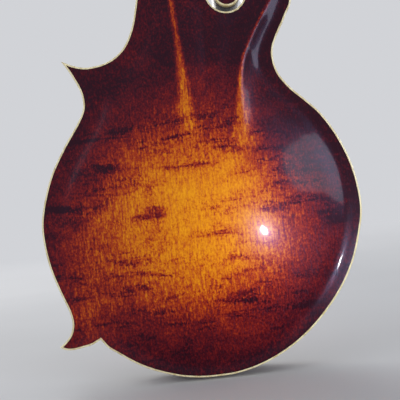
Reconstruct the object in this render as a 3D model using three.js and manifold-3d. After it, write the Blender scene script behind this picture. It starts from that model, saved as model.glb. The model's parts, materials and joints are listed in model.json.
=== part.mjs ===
// An F-style mandolin: carved maple back, carved spruce top with two f-holes, a scroll and two points,
// a straight neck with an angled scroll headstock, worm-gear tuners, a floating bridge and a hinged
// tailpiece cover.
// Millimetres. +X is the treble side, +Y points to the back, +Z runs from the tail up to the headstock.
// The origin is on the outer face of the tailpiece's flange, on the body's centre line, halfway through
// the ribs. Inside, the body's own frame has Z 0 at its tail.
import * as THREE from 'three';
import { mergeVertices } from 'three/addons/utils/BufferGeometryUtils.js';
import Module from 'manifold-3d';

const wasm = await Module();
wasm.setup();

// Body
const bodyHalfWidth = 127;
const bodyLength = 346;
const rimDepth = 35;
const ribThickness = 2;
const edgeThickness = 5;
const bindingWidth = 1.4;
const topCrown = 15;
const backCrown = 13;
const plateThickness = 4.2;
const glueWidth = 9;
const recurveDepth = 1.1;
const recurveInset = 11;
const recurveSpread = 8;
const outerGrid = 21;
const innerGrid = 31;
const liningWidth = 5;
const liningHeight = 7;
const curveTolerance = 0.62;
const samplesPerKnot = 14;

// Gaps: glued pieces, pieces resting in a turned frame, and running fits
const glueGap = 0.1;
const seatGap = 0.3;
const runGap = 0.2;
const cutOverrun = 2;
const weldTolerance = 1e-4;

// Neck, fingerboard and nut
const scaleLength = 353;
const jointFret = 15;
const fretCount = 24;
const lastShortFret = 29;
const neckAngle = THREE.MathUtils.degToRad(6.2);
const boardRiseAtJoint = 33;
const boardThickness = 5.5;
const nutHalfWidth = 14.3;
const jointHalfWidth = 20.5;
const boardBindingWidth = 1.5;
const neckDepthAtNut = 13.5;
const neckDepthAtHeel = 16;
const fretHeight = 1.05;
const fretWidth = 2;
const nutLength = 4.6;
const nutRise = 1.9;
const rodRadius = 2.2;
const rodDepth = 4.4;

// Headstock
const headAngle = THREE.MathUtils.degToRad(13);
const headLength = 166;
const headHalfWidth = 31;
const headThickness = 15;
const headDrop = 4;
const veneerThickness = 1.6;
const headBindingWidth = 1.5;
const headBindingHeight = 4;

// Tuners
const tunerPitch = 23;
const firstPostHeight = 36;
const postOffset = 18;
const postRadius = 3;
const postReach = 12;
const gearTeeth = 12;
const gearPitchRadius = 4.8;
const gearThickness = 3;
const wormPitchRadius = 2.4;
const toothAddendum = 0.55;
const toothDedendum = 0.8;
const toothTipWidth = 0.5;
const toothRootWidth = 1.2;
const threadRootWidth = 1.5;
const wormTurns = 2;
const wormShaftRadius = 1.4;
const tunerPlateThickness = 1.2;
const tunerPlateHalfWidth = 8;
const lugThickness = 1.4;
const buttonLength = 12;
const buttonWidth = 16;
const buttonThickness = 7.5;
const buttonStandOff = 19;

// Strings: radius of each course, its spread at the nut, over the saddle and at the tailpiece
const courses = [
  { name: 'g', radius: 0.51, nutShare: -1, posts: [0, 1] },
  { name: 'd', radius: 0.33, nutShare: -1 / 3, posts: [2, 3] },
  { name: 'a', radius: 0.2, nutShare: 1 / 3, posts: [2, 3] },
  { name: 'e', radius: 0.15, nutShare: 1, posts: [0, 1] },
];
const nutSpread = 11.6;
const saddleSpread = 20.3;
const hookSpread = 16;
const nutPairGap = 1.6;
const saddlePairGap = 2.3;
const hookPairGap = 3.2;
const nutAction = 1.5;
const saddleAction = 6;

// Bridge
const bridgeBaseLength = 118;
const bridgeBaseDepth = 11;
const footLift = 2.4;
const saddleLength = 104;
const saddleDepth = 8;
const saddleHeight = 7.6;
const bridgePostRadius = 2.2;
const bridgePostOffset = 32;
const wheelRadius = 7.4;
const wheelThickness = 2.3;
const saddleTravel = 1.2;

// Tailpiece
const tailpieceAngle = THREE.MathUtils.degToRad(8.6);
const tailpieceLength = 84;
const tailpieceHalfWidth = 20;
const tailpieceSheet = 1.5;
const tailpieceLift = 1.6;
const coverHeight = 10;
const coverWall = 1.2;
const hookZ = 62;
const hookStep = 7;
const hookHeight = 5.4;
const hingeRadius = 1.3;
const flangeDrop = 33;

// Pickguard
const guardThickness = 2.2;
const guardDrop = 3;
const bracketWidth = 6;
const bracketSheet = 1.2;

const halfRim = rimDepth / 2;
const plateEdge = halfRim + edgeThickness;
const flangeFace = seatGap + tailpieceSheet;

// Solids from geometry and geometry from solids

function solidOf(geometry) {
  const loose = geometry.index ? geometry.toNonIndexed() : geometry;
  const bare = new THREE.BufferGeometry().setAttribute('position', loose.getAttribute('position'));
  const merged = mergeVertices(bare, weldTolerance);
  return new wasm.Manifold(new wasm.Mesh({
    numProp: 3,
    vertProperties: merged.attributes.position.array,
    triVerts: new Uint32Array(merged.index.array),
  }));
}

function geometryOf(solid) {
  const mesh = solid.getMesh();
  const geometry = new THREE.BufferGeometry();
  geometry.setAttribute('position', new THREE.BufferAttribute(mesh.vertProperties, 3));
  geometry.setIndex(new THREE.BufferAttribute(mesh.triVerts, 1));
  const faceted = geometry.toNonIndexed();
  faceted.computeVertexNormals();
  return faceted;
}

const joined = (...geometries) => geometries.map(solidOf).reduce((a, b) => a.add(b));

function material(colour, roughness, metalness = 0) {
  return new THREE.MeshStandardMaterial({ color: colour, roughness, metalness });
}

function piece(parent, name, shape, look) {
  const geometry = shape.isBufferGeometry ? shape : geometryOf(shape);
  const mesh = new THREE.Mesh(geometry, look);
  mesh.name = name;
  parent.add(mesh);
  return mesh;
}

// A plan outline in X and Z, extruded along Y from its front face to its back face.
function prismAlongY(outline, front, back, holes = []) {
  const toVector = ([x, z]) => new THREE.Vector2(x, z);
  const shape = new THREE.Shape(outline.map(toVector));
  shape.holes = holes.map((hole) => new THREE.Path(hole.map(toVector)));
  const geometry = new THREE.ExtrudeGeometry(shape, { depth: back - front, bevelEnabled: false });
  return geometry.rotateX(Math.PI / 2).translate(0, back, 0);
}

// An outline in X and Y, extruded along Z.
function prismAlongZ(outline, low, high) {
  const shape = new THREE.Shape(outline.map(([x, y]) => new THREE.Vector2(x, y)));
  const geometry = new THREE.ExtrudeGeometry(shape, { depth: high - low, bevelEnabled: false });
  return geometry.translate(0, 0, low);
}

// An outline in Z and Y, extruded along X.
function prismAlongX(outline, low, high) {
  const shape = new THREE.Shape(outline.map(([z, y]) => new THREE.Vector2(-z, y)));
  const geometry = new THREE.ExtrudeGeometry(shape, { depth: high - low, bevelEnabled: false });
  return geometry.rotateY(Math.PI / 2).translate(low, 0, 0);
}

function boxBetween([x0, y0, z0], [x1, y1, z1]) {
  const geometry = new THREE.BoxGeometry(x1 - x0, y1 - y0, z1 - z0);
  return geometry.translate((x0 + x1) / 2, (y0 + y1) / 2, (z0 + z1) / 2);
}

function cylinderAlong(axis, radius, low, high, sides) {
  const geometry = new THREE.CylinderGeometry(radius, radius, high - low, sides);
  geometry.translate(0, (high + low) / 2, 0);
  if (axis === 'z') geometry.rotateX(Math.PI / 2);
  if (axis === 'x') geometry.rotateZ(-Math.PI / 2);
  return geometry;
}

// A bore whose flats, not its corners, are at the radius.
function boreAlong(axis, radius, low, high, sides) {
  return cylinderAlong(axis, radius / Math.cos(Math.PI / sides), low, high, sides);
}

// The whole of a symmetrical outline, from the points of its +X half in order.
function mirrored(side) {
  const others = side.filter(([x]) => x !== 0).reverse();
  return [...side, ...others.map(([x, z]) => [-x, z])];
}

// A closed body through rings that all have the same number of points.
function loft(rings) {
  const count = rings[0].length;
  const positions = rings.flat(2);
  const faces = [];
  for (let r = 0; r + 1 < rings.length; r++) {
    for (let i = 0; i < count; i++) {
      const a = r * count + i;
      const b = r * count + ((i + 1) % count);
      faces.push(a, b, b + count, a, b + count, a + count);
    }
  }
  for (let i = 1; i + 1 < count; i++) {
    const last = (rings.length - 1) * count;
    faces.push(0, i + 1, i, last, last + i, last + i + 1);
  }
  const geometry = new THREE.BufferGeometry();
  geometry.setAttribute('position', new THREE.Float32BufferAttribute(positions, 3));
  geometry.setIndex(faces);
  if (solidOf(geometry).volume() < 0) {
    for (let i = 0; i < faces.length; i += 3) {
      [faces[i], faces[i + 1]] = [faces[i + 1], faces[i]];
    }
    geometry.setIndex(faces);
  }
  return geometry;
}

// A round rod through a few points, mitred at each bend.
function rodThrough(points, radius, sides) {
  const across = points.map((point, i) => {
    const before = points[Math.max(i - 1, 0)];
    const after = points[Math.min(i + 1, points.length - 1)];
    return after.clone().sub(before).normalize();
  });
  const rings = points.map((point, i) => {
    const side = new THREE.Vector3(1, 0, 0).cross(across[i]).normalize();
    const up = across[i].clone().cross(side).normalize();
    return Array.from({ length: sides }, (_, k) => {
      const turn = (k / sides) * 2 * Math.PI;
      const offset = side.clone().multiplyScalar(Math.cos(turn)).addScaledVector(up, Math.sin(turn));
      return point.clone().addScaledVector(offset, radius).toArray();
    });
  });
  return loft(rings);
}

// Plan curves

const lerp = THREE.MathUtils.lerp;
const smoothstep = THREE.MathUtils.smoothstep;

function distanceToSegment([px, pz], [ax, az], [bx, bz]) {
  const lengthSquared = (bx - ax) ** 2 + (bz - az) ** 2;
  const along = lengthSquared ? ((px - ax) * (bx - ax) + (pz - az) * (bz - az)) / lengthSquared : 0;
  const t = Math.min(1, Math.max(0, along));
  return Math.hypot(px - lerp(ax, bx, t), pz - lerp(az, bz, t));
}

// Keeps only the points that a polyline needs to stay within the tolerance (Douglas-Peucker).
function thinned(points, tolerance) {
  if (points.length < 3) return points;
  const ends = [points[0], points[points.length - 1]];
  const gaps = points.map((point) => distanceToSegment(point, ...ends));
  const worst = gaps.indexOf(Math.max(...gaps));
  if (gaps[worst] <= tolerance) return ends;
  const head = thinned(points.slice(0, worst + 1), tolerance);
  return head.slice(0, -1).concat(thinned(points.slice(worst), tolerance));
}

// A smooth stretch of outline through points given as shares of a half width and a length.
function smoothStretch(shares, halfWidth, length, tolerance = curveTolerance) {
  const knots = shares.map(([x, z]) => new THREE.Vector3(x * halfWidth, 0, z * length));
  const curve = new THREE.CatmullRomCurve3(knots, false, 'centripetal');
  const dense = curve.getSpacedPoints(shares.length * samplesPerKnot).map((p) => [p.x, p.z]);
  return thinned(dense, tolerance);
}

function crossing([ax, az], [bx, bz], [cx, cz], [dx, dz]) {
  const det = (bx - ax) * (dz - cz) - (bz - az) * (dx - cx);
  if (Math.abs(det) < 1e-9) return null;
  const s = ((cx - ax) * (dz - cz) - (cz - az) * (dx - cx)) / det;
  const t = ((cx - ax) * (bz - az) - (cz - az) * (bx - ax)) / det;
  return { s, t, point: [lerp(ax, bx, s), lerp(az, bz, s)] };
}

// Moves a polyline to its left by an inset.
function shifted(points, inset) {
  return points.map(([x, z], i) => {
    const [ax, az] = points[Math.max(i - 1, 0)];
    const [bx, bz] = points[Math.min(i + 1, points.length - 1)];
    const normals = [[x - ax, z - az], [bx - x, bz - z]]
      .filter(([dx, dz]) => Math.hypot(dx, dz) > 0)
      .map(([dx, dz]) => [-dz / Math.hypot(dx, dz), dx / Math.hypot(dx, dz)]);
    const nx = normals.reduce((sum, n) => sum + n[0], 0) / normals.length;
    const nz = normals.reduce((sum, n) => sum + n[1], 0) / normals.length;
    const miter = inset / (nx * nx + nz * nz);
    return [x + nx * miter, z + nz * miter];
  });
}

// Joins two shifted stretches at their shared corner: crossing ends are trimmed, open ends are mitred.
function trimmedJoin(first, second) {
  for (let i = first.length - 2; i >= 0; i--) {
    for (let j = 0; j + 1 < second.length; j++) {
      const hit = crossing(first[i], first[i + 1], second[j], second[j + 1]);
      if (hit && hit.s >= 0 && hit.s <= 1 && hit.t >= 0 && hit.t <= 1) {
        return [[...first.slice(0, i + 1), hit.point], [hit.point, ...second.slice(j + 1)]];
      }
    }
  }
  const hit = crossing(first[first.length - 2], first[first.length - 1], second[0], second[1]);
  return [[...first, hit.point], [hit.point, ...second]];
}

// The closed outline of a ring of stretches, moved inwards by an inset.
function insetOutline(stretches, inset) {
  const moved = stretches.map((stretch) => (inset ? shifted(stretch, inset) : stretch.slice()));
  if (inset) {
    moved.forEach((_, i) => {
      const next = (i + 1) % moved.length;
      [moved[i], moved[next]] = trimmedJoin(moved[i], moved[next]);
    });
  }
  return moved.flatMap((stretch) => stretch.slice(0, -1));
}

function distanceToOutline(point, outline) {
  return Math.min(...outline.map((a, i) => distanceToSegment(point, a, outline[(i + 1) % outline.length])));
}

// The body outline, as shares of the half width and the body length. The list starts at the lower
// point's tip and runs up the treble side, over the neck joint, round the scroll and down the bass side.

const trebleSideShares = [
  [0.979, 0.104], [0.939, 0.116], [0.903, 0.132], [0.886, 0.153], [0.892, 0.178], [0.947, 0.236],
  [0.99, 0.29], [1.013, 0.35], [1.013, 0.39], [0.994, 0.427], [0.927, 0.498], [0.825, 0.563],
  [0.716, 0.62], [0.68, 0.646], [0.674, 0.663], [0.682, 0.687], [0.737, 0.733], [0.785, 0.763],
];
const upperPointShares = [
  [0.785, 0.763], [0.704, 0.749], [0.635, 0.743], [0.578, 0.744], [0.518, 0.748], [0.455, 0.758],
  [0.391, 0.777], [0.348, 0.801], [0.312, 0.832], [0.286, 0.868], [0.268, 0.893], [0.236, 0.909],
  [0.19, 0.913],
];
const bassSideShares = [
  [-0.693, 0.84], [-0.667, 0.823], [-0.633, 0.8], [-0.588, 0.771], [-0.559, 0.747], [-0.55, 0.731],
  [-0.554, 0.708], [-0.573, 0.684], [-0.605, 0.665], [-0.648, 0.645], [-0.723, 0.618], [-0.808, 0.584],
  [-0.894, 0.533], [-0.97, 0.463], [-1.004, 0.395], [-1.006, 0.347], [-0.973, 0.292], [-0.923, 0.237],
  [-0.841, 0.181], [-0.733, 0.13], [-0.598, 0.082], [-0.452, 0.045], [-0.292, 0.018], [-0.131, 0.003],
  [0, 0], [0.11, 0.001], [0.22, 0.007], [0.325, 0.018], [0.43, 0.033], [0.525, 0.052], [0.614, 0.075],
  [0.679, 0.093], [0.718, 0.112],
];
const lowerPointShares = [
  [0.718, 0.112], [0.78, 0.102], [0.836, 0.098], [0.897, 0.095], [0.943, 0.097], [0.979, 0.104],
];

const armTopShares = [
  [-0.2175, 0.905], [-0.2175, 0.935], [-0.232, 0.966], [-0.262, 0.988], [-0.31, 0.999], [-0.39, 1.002],
  [-0.48, 0.994], [-0.56, 0.976], [-0.626, 0.951], [-0.675, 0.919], [-0.696, 0.883], [-0.701, 0.857],
];

const neckJointShare = 0.913;
const neckJointZ = neckJointShare * bodyLength;
const slotWidth = 6.4;
const slotEndWidth = 3.4;
const slotWallMargin = 0.7;
const buttonRadius = 10.6;
const slotWallX = jointHalfWidth + slotWallMargin;
const scrollEyeShare = 0.8815;
const scrollEye = [-(slotWallX + slotWidth + buttonRadius), scrollEyeShare * bodyLength];

// A scroll's slot: round under the eye along the outer wall, a round end, and back along the eye's rim.
// It starts on the eye's right and narrows as it curls. Turns are in degrees round the eye.
const slotWallTurns = [0, -30, -60, -90, -120, -150, -175, -195];
const slotEndTurn = 160;
const slotRoundTurns = [-60, 0, 60];
const slotRimTurns = [170, 200, 230, 260, 290, 320, 350];
function slotKnots([eyeX, eyeZ], rimRadius, width, endWidth) {
  const around = (radius, degrees) => {
    const turn = THREE.MathUtils.degToRad(degrees);
    return [eyeX + radius * Math.cos(turn), eyeZ + radius * Math.sin(turn)];
  };
  const wall = slotWallTurns.map((degrees) => {
    const narrowing = Math.sqrt(degrees / (slotEndTurn - 360));
    return around(rimRadius + lerp(width, endWidth, Math.min(1, narrowing)), degrees);
  });
  const middle = around(rimRadius + endWidth / 2, slotEndTurn);
  const end = slotRoundTurns.map((degrees) => {
    const turn = THREE.MathUtils.degToRad(slotEndTurn - 90 - degrees);
    return [middle[0] + (endWidth / 2) * Math.cos(turn), middle[1] + (endWidth / 2) * Math.sin(turn)];
  });
  const rim = slotRimTurns.map((degrees) => around(rimRadius, degrees));
  return [...wall, ...end, ...rim];
}

// The scroll: down the slot's wall beside the neck, round the slot and over the top.
const armFairingShare = 0.85;
function scrollStretch() {
  const onBody = ([x, z]) => [x * bodyHalfWidth, z * bodyLength];
  const armShift = scrollEye[0] + buttonRadius - armTopShares[0][0] * bodyHalfWidth;
  const fairing = (z) => smoothstep(z, armFairingShare * bodyLength, bodyLength);
  const arm = armTopShares.map(onBody).map(([x, z]) => [x + armShift * fairing(z), z]);
  const bass = bassSideShares.map(onBody);
  const start = [[-slotWallX, neckJointZ], [-slotWallX, lerp(scrollEye[1], neckJointZ, 0.5)]];
  const knots = [...start, ...slotKnots(scrollEye, buttonRadius, slotWidth, slotEndWidth), ...arm, ...bass];
  return smoothStretch(knots, 1, 1);
}

const trebleSide = smoothStretch(trebleSideShares, bodyHalfWidth, bodyLength);
const upperPoint = smoothStretch(upperPointShares, bodyHalfWidth, bodyLength);
upperPoint[upperPoint.length - 1] = [upperPointShares.at(-1)[0] * bodyHalfWidth, neckJointZ];
const scrollAndBass = scrollStretch();
const lowerPoint = smoothStretch(lowerPointShares, bodyHalfWidth, bodyLength);
const neckLine = [upperPoint.at(-1), scrollAndBass[0]];

// On the back, a rounded button of the plate covers the end of the heel.
const heelCapHalfWidth = 12.6;
const heelCapLength = 11;
const heelCapFillet = 1.2;
const heelCapStraight = 1.5;
const heelCapRoundness = 0.7;
const heelCapSteps = 8;
const heelCapLine = [
  upperPoint.at(-1),
  [heelCapHalfWidth + heelCapFillet, neckJointZ],
  ...Array.from({ length: heelCapSteps + 1 }, (_, i) => {
    const turn = (i / heelCapSteps) * Math.PI;
    const rise = (heelCapLength - heelCapStraight) * Math.sin(turn) ** heelCapRoundness;
    return [heelCapHalfWidth * Math.cos(turn), neckJointZ + heelCapStraight + rise];
  }),
  [-heelCapHalfWidth - heelCapFillet, neckJointZ],
  scrollAndBass[0],
];

const topStretches = [trebleSide, upperPoint, neckLine, scrollAndBass, lowerPoint];
const backStretches = [trebleSide, upperPoint, heelCapLine, scrollAndBass, lowerPoint];
const bodyOutline = insetOutline(topStretches, 0);

// The arching, as a share of the crown's height: a dome that narrows towards the neck.
const crownShare = 0.45;
const archUpShare = 0.5;
const archDownShare = 0.435;
const lowerArchShare = 0.93;
const upperArchShare = 0.5;
const archWaistShare = 0.78;
const archPower = 1.6;
const crownZ = crownShare * bodyLength;

function archShare(x, z) {
  const reach = (z > crownZ ? archUpShare : archDownShare) * bodyLength;
  const narrowing = smoothstep(z, crownZ, archWaistShare * bodyLength);
  const half = lerp(lowerArchShare, upperArchShare, narrowing) * bodyHalfWidth;
  const t = Math.hypot(x / half, (z - crownZ) / reach);
  return t < 1 ? (1 - t * t) ** archPower : 0;
}

function recurve(distance) {
  return recurveDepth * Math.exp(-(((distance - recurveInset) / recurveSpread) ** 2));
}

// Height of a plate's outer face above its glue face.
function outerHeight(x, z, crown) {
  return edgeThickness + crown * archShare(x, z) - recurve(distanceToOutline([x, z], bodyOutline));
}

// The carved crest that leaves the scroll and sinks into the arch, as a ridge to join to a plate.
const crestShares = [
  [-0.6, 0.862], [-0.567, 0.842], [-0.505, 0.808], [-0.446, 0.775], [-0.394, 0.742], [-0.352, 0.706],
  [-0.328, 0.664], [-0.315, 0.62],
];
const crestHeight = 3.4;
const crestHalfWidth = 14;
const crestSectionShares = [[-1, -0.35], [-0.5, 0.12], [0, 1], [0.5, 0.12], [1, -0.35]];
const crestSwellShares = [0.25, 0.7, 1, 1, 0.85, 0.6, 0.3, 0];
const crestFootShare = 0.4;
function carvedCrest(crown, facing) {
  const line = crestShares.map(([x, z]) => [x * bodyHalfWidth, z * bodyLength]);
  const rings = line.map(([x, z], i) => {
    const [ax, az] = line[Math.max(i - 1, 0)];
    const [bx, bz] = line[Math.min(i + 1, line.length - 1)];
    const length = Math.hypot(bx - ax, bz - az);
    const [sideX, sideZ] = [(bz - az) / length, -(bx - ax) / length];
    const section = crestSectionShares.map(([across, up]) => {
      const [px, pz] = [x + across * crestHalfWidth * sideX, z + across * crestHalfWidth * sideZ];
      const rise = up * crestHeight * crestSwellShares[i];
      return [px, facing * (halfRim + outerHeight(px, pz, crown) + rise), pz];
    });
    const foot = [x, facing * (halfRim + edgeThickness * crestFootShare), z];
    return [...section, foot];
  });
  return solidOf(loft(rings));
}

// Height of the hollow inside a plate. It is below the glue face where the plate sits on its linings.
const hollowSkirt = 1;
const hollowStartShare = 0.6;
function hollowHeight(x, z, crown) {
  const depth = edgeThickness + crown * archShare(x, z) - plateThickness;
  const distance = distanceToOutline([x, z], bodyOutline);
  const inwards = smoothstep(distance, glueWidth * hollowStartShare, glueWidth + recurveInset);
  return lerp(-hollowSkirt, depth, inwards);
}

// A slab over the body's plan, from a flat face to a height field. Heights run along Y, towards `facing`.
function archedSlab(flat, height, facing, xs, zs) {
  const positions = [];
  for (const faceHeight of [() => flat, height]) {
    for (const z of zs) {
      for (const x of xs) {
        positions.push(x, facing * (halfRim + faceHeight(x, z)), z);
      }
    }
  }
  const columns = xs.length;
  const layer = columns * zs.length;
  const quads = [];
  for (let r = 0; r + 1 < zs.length; r++) {
    for (let c = 0; c + 1 < columns; c++) {
      const a = r * columns + c;
      quads.push([a, a + columns, a + columns + 1, a + 1]);
      quads.push([layer + a, layer + a + 1, layer + a + columns + 1, layer + a + columns]);
    }
  }
  const rim = [
    ...xs.map((_, c) => c),
    ...zs.slice(1).map((_, r) => (r + 1) * columns + columns - 1),
    ...xs.slice(1).map((_, c) => layer - 2 - c),
    ...zs.slice(1, -1).map((_, r) => (zs.length - 2 - r) * columns),
  ];
  rim.forEach((a, i) => {
    const b = rim[(i + 1) % rim.length];
    quads.push([a, b, b + layer, a + layer]);
  });
  const faces = quads.flatMap(([a, b, c, d]) => (facing > 0 ? [a, c, b, a, d, c] : [a, b, c, a, c, d]));
  const geometry = new THREE.BufferGeometry();
  geometry.setAttribute('position', new THREE.Float32BufferAttribute(positions, 3));
  geometry.setIndex(faces);
  return solidOf(geometry);
}

function gridBetween(low, high, step) {
  const steps = Math.ceil((high - low) / step);
  return Array.from({ length: steps + 1 }, (_, i) => lerp(low, high, i / steps));
}

const planReach = bodyHalfWidth + outerGrid;
const outerColumns = gridBetween(-planReach, planReach, outerGrid);
const outerRows = gridBetween(-outerGrid, bodyLength + outerGrid, outerGrid);
const innerColumns = gridBetween(-planReach, planReach, innerGrid);
const innerRows = gridBetween(-outerGrid, bodyLength + outerGrid, innerGrid);

// Looks
const backMaple = material(0x8a3a12, 0.25);
const ribMaple = material(0x4a1509, 0.25);
const topSpruce = material(0xa8571a, 0.25);
const bareWood = material(0xc9a577, 0.7);
const ivoroid = material(0xe9dcb4, 0.35);
const neckMaple = material(0x3f120a, 0.25);
const ebony = material(0x17120f, 0.45);
const blackLacquer = material(0x0b0a0a, 0.15);
const bone = material(0xeee6cf, 0.4);
const nickel = material(0xc4c2ba, 0.22, 1);
const steel = material(0x8f9193, 0.35, 1);
const bronze = material(0xb08a52, 0.35, 1);
const pearl = material(0xefe9dc, 0.25);
const tortoise = material(0x2a0f08, 0.2);

const instrument = new THREE.Group();
instrument.position.z = flangeFace;
const body = new THREE.Group();
instrument.add(body);

// The neck's frame: its origin is on the fingerboard's face at the nut.
const jointDistance = scaleLength * (1 - 2 ** (-jointFret / 12));
const neck = new THREE.Group();
neck.position.set(
  0,
  -boardRiseAtJoint + jointDistance * Math.sin(neckAngle),
  neckJointZ + jointDistance * Math.cos(neckAngle),
);
neck.rotation.x = -neckAngle;
instrument.add(neck);
const head = new THREE.Group();
head.position.set(0, headDrop, nutLength + seatGap);
head.rotation.x = -headAngle;
neck.add(head);
for (const group of [neck, head]) group.updateMatrix();

// Geometry made in the body's frame, moved into the neck's frame.
const intoNeck = (geometry) => geometry.applyMatrix4(neck.matrix.clone().invert());
const fromHead = (geometry) => geometry.applyMatrix4(head.matrix);

// The dovetail that the neck's heel carries into the head block, open to the top.
const dovetailLength = 16;
const dovetailFoot = 10;
const dovetailRootHalfWidth = 8;
const dovetailTipHalfWidth = 11;
function dovetail(clearance) {
  const root = dovetailRootHalfWidth + clearance;
  const tip = dovetailTipHalfWidth + clearance;
  const low = neckJointZ - dovetailLength - clearance;
  const high = neckJointZ + dovetailFoot;
  const outline = [[-tip, low], [tip, low], [root, high], [-root, high]];
  return prismAlongY(outline, -plateEdge - cutOverrun, halfRim - dovetailFoot + clearance);
}

function addPlates() {
  const bindingInner = bindingWidth + glueGap;
  const mortise = solidOf(dovetail(seatGap));
  const carved = (crown, facing) => {
    const arch = (x, z) => outerHeight(x, z, crown);
    const inner = (x, z) => hollowHeight(x, z, crown);
    const outer = archedSlab(0, arch, facing, outerColumns, outerRows);
    const hollow = archedSlab(-cutOverrun, inner, facing, innerColumns, innerRows);
    return outer.add(carvedCrest(crown, facing)).subtract(hollow);
  };
  const topOutline = insetOutline(topStretches, bindingInner);
  const fHoles = solidOf(fHole(1)).add(solidOf(fHole(-1)));
  const reach = plateEdge + 2 * topCrown;
  const top = carved(topCrown, -1)
    .intersect(solidOf(prismAlongY(topOutline, -reach, -halfRim + glueGap)))
    .subtract(fHoles)
    .subtract(mortise);
  piece(body, 'top_plate', top, topSpruce);

  const backOutline = insetOutline(backStretches, bindingInner);
  const back = carved(backCrown, 1).intersect(solidOf(prismAlongY(backOutline, halfRim - glueGap, reach)));
  piece(body, 'back_plate', back, backMaple);

  const topInside = insetOutline(topStretches, bindingWidth);
  const topRing = prismAlongY(bodyOutline, -plateEdge, -halfRim - glueGap, [topInside]);
  piece(body, 'top_binding', solidOf(topRing).subtract(mortise), ivoroid);
  const backInside = insetOutline(backStretches, bindingWidth);
  const backRing = prismAlongY(insetOutline(backStretches, 0), halfRim + glueGap, plateEdge, [backInside]);
  piece(body, 'back_binding', backRing, ivoroid);

  const ribRing = prismAlongY(bodyOutline, -halfRim, halfRim, [insetOutline(topStretches, ribThickness)]);
  piece(body, 'ribs', solidOf(ribRing).subtract(mortise), ribMaple);
}

// One f-hole: a round eye at each end of a slim S that swells in the middle.
const fHoleCentreShare = [0.46, 0.47];
const fHoleHalfLength = 40;
const fHoleLean = 13;
const fHoleWidth = 6.5;
const lowerEyeRadius = 5;
const upperEyeRadius = 4;
const eyeShiftShare = 0.7;
const eyeInset = 1;
const fHoleEndShare = 0.35;
const fHoleSteps = 7;
const eyeSides = 10;
function fHole(side) {
  const cx = fHoleCentreShare[0] * bodyHalfWidth;
  const cz = fHoleCentreShare[1] * bodyLength;
  const spine = Array.from({ length: fHoleSteps + 1 }, (_, i) => {
    const t = -1 + (2 * i) / fHoleSteps;
    return { x: cx - fHoleLean * Math.sin((t * Math.PI) / 2), z: cz + t * fHoleHalfLength, t };
  });
  const half = ({ t }) => (fHoleWidth / 2) * lerp(fHoleEndShare, 1, Math.cos((t * Math.PI) / 2));
  const right = spine.map((p) => [side * (p.x + half(p)), p.z]);
  const left = spine.map((p) => [side * (p.x - half(p)), p.z]).reverse();
  const [low, high] = [-plateEdge - 2 * topCrown, -halfRim + cutOverrun];
  const eye = (x, z, radius) => cylinderAlong('y', radius, low, high, eyeSides).translate(side * x, 0, z);
  const [start, end] = [spine[0], spine.at(-1)];
  const lowerEye = eye(start.x + lowerEyeRadius * eyeShiftShare, start.z + eyeInset, lowerEyeRadius);
  const upperEye = eye(end.x - upperEyeRadius * eyeShiftShare, end.z - eyeInset, upperEyeRadius);
  return geometryOf(joined(prismAlongY([...right, ...left], low, high), lowerEye, upperEye));
}

// Blocks and linings inside the ribs

const tailBlockDepth = 20;
const tailBlockHalfWidth = 26;
const headBlockStartShare = 0.79;
const pointBlockShares = [
  ['upper_point_block', 0.62, 0.7, 0.85], ['lower_point_block', 0.84, 0.08, 0.19],
];

function addBlocks() {
  const gap = ribThickness + glueGap;
  const halfHeight = halfRim - glueGap;
  const inside = insetOutline(topStretches, gap);
  const filling = () => solidOf(prismAlongY(inside, -halfHeight, halfHeight));
  const wide = 2 * bodyHalfWidth;
  const headLow = [-wide, -rimDepth, headBlockStartShare * bodyLength];
  const headRegion = solidOf(boxBetween(headLow, [wide, rimDepth, 2 * bodyLength]));
  const mortise = solidOf(dovetail(seatGap));
  piece(body, 'head_block', filling().intersect(headRegion).subtract(mortise), bareWood);
  const tailLow = [-tailBlockHalfWidth, -rimDepth, -cutOverrun];
  const tailRegion = boxBetween(tailLow, [tailBlockHalfWidth, rimDepth, tailBlockDepth]);
  piece(body, 'tail_block', filling().intersect(solidOf(tailRegion)), bareWood);
  for (const [name, insideShare, lowShare, highShare] of pointBlockShares) {
    const low = [insideShare * bodyHalfWidth, -rimDepth, lowShare * bodyLength];
    const region = boxBetween(low, [wide, rimDepth, highShare * bodyLength]);
    piece(body, name, filling().intersect(solidOf(region)), bareWood);
  }
}

const trebleLiningShares = [
  [0.18, 0.005], [0.325, 0.018], [0.43, 0.033], [0.525, 0.055], [0.632, 0.089], [0.747, 0.14],
  [0.838, 0.188], [0.932, 0.249], [0.989, 0.3], [1.013, 0.36], [0.994, 0.427], [0.927, 0.498],
  [0.825, 0.563], [0.716, 0.62], [0.645, 0.657], [0.58, 0.691], [0.504, 0.733], [0.422, 0.759],
  [0.372, 0.792],
];
const bassLiningShares = [
  [-0.608, 0.785], [-0.588, 0.771], [-0.559, 0.747], [-0.55, 0.731], [-0.554, 0.708], [-0.573, 0.684],
  [-0.605, 0.665], [-0.648, 0.645], [-0.723, 0.618], [-0.808, 0.584], [-0.894, 0.533], [-0.97, 0.463],
  [-1.004, 0.395], [-1.006, 0.347], [-0.973, 0.292], [-0.923, 0.237], [-0.841, 0.181], [-0.733, 0.13],
  [-0.598, 0.082], [-0.452, 0.045], [-0.292, 0.018], [-0.203, 0.009],
];

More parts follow.
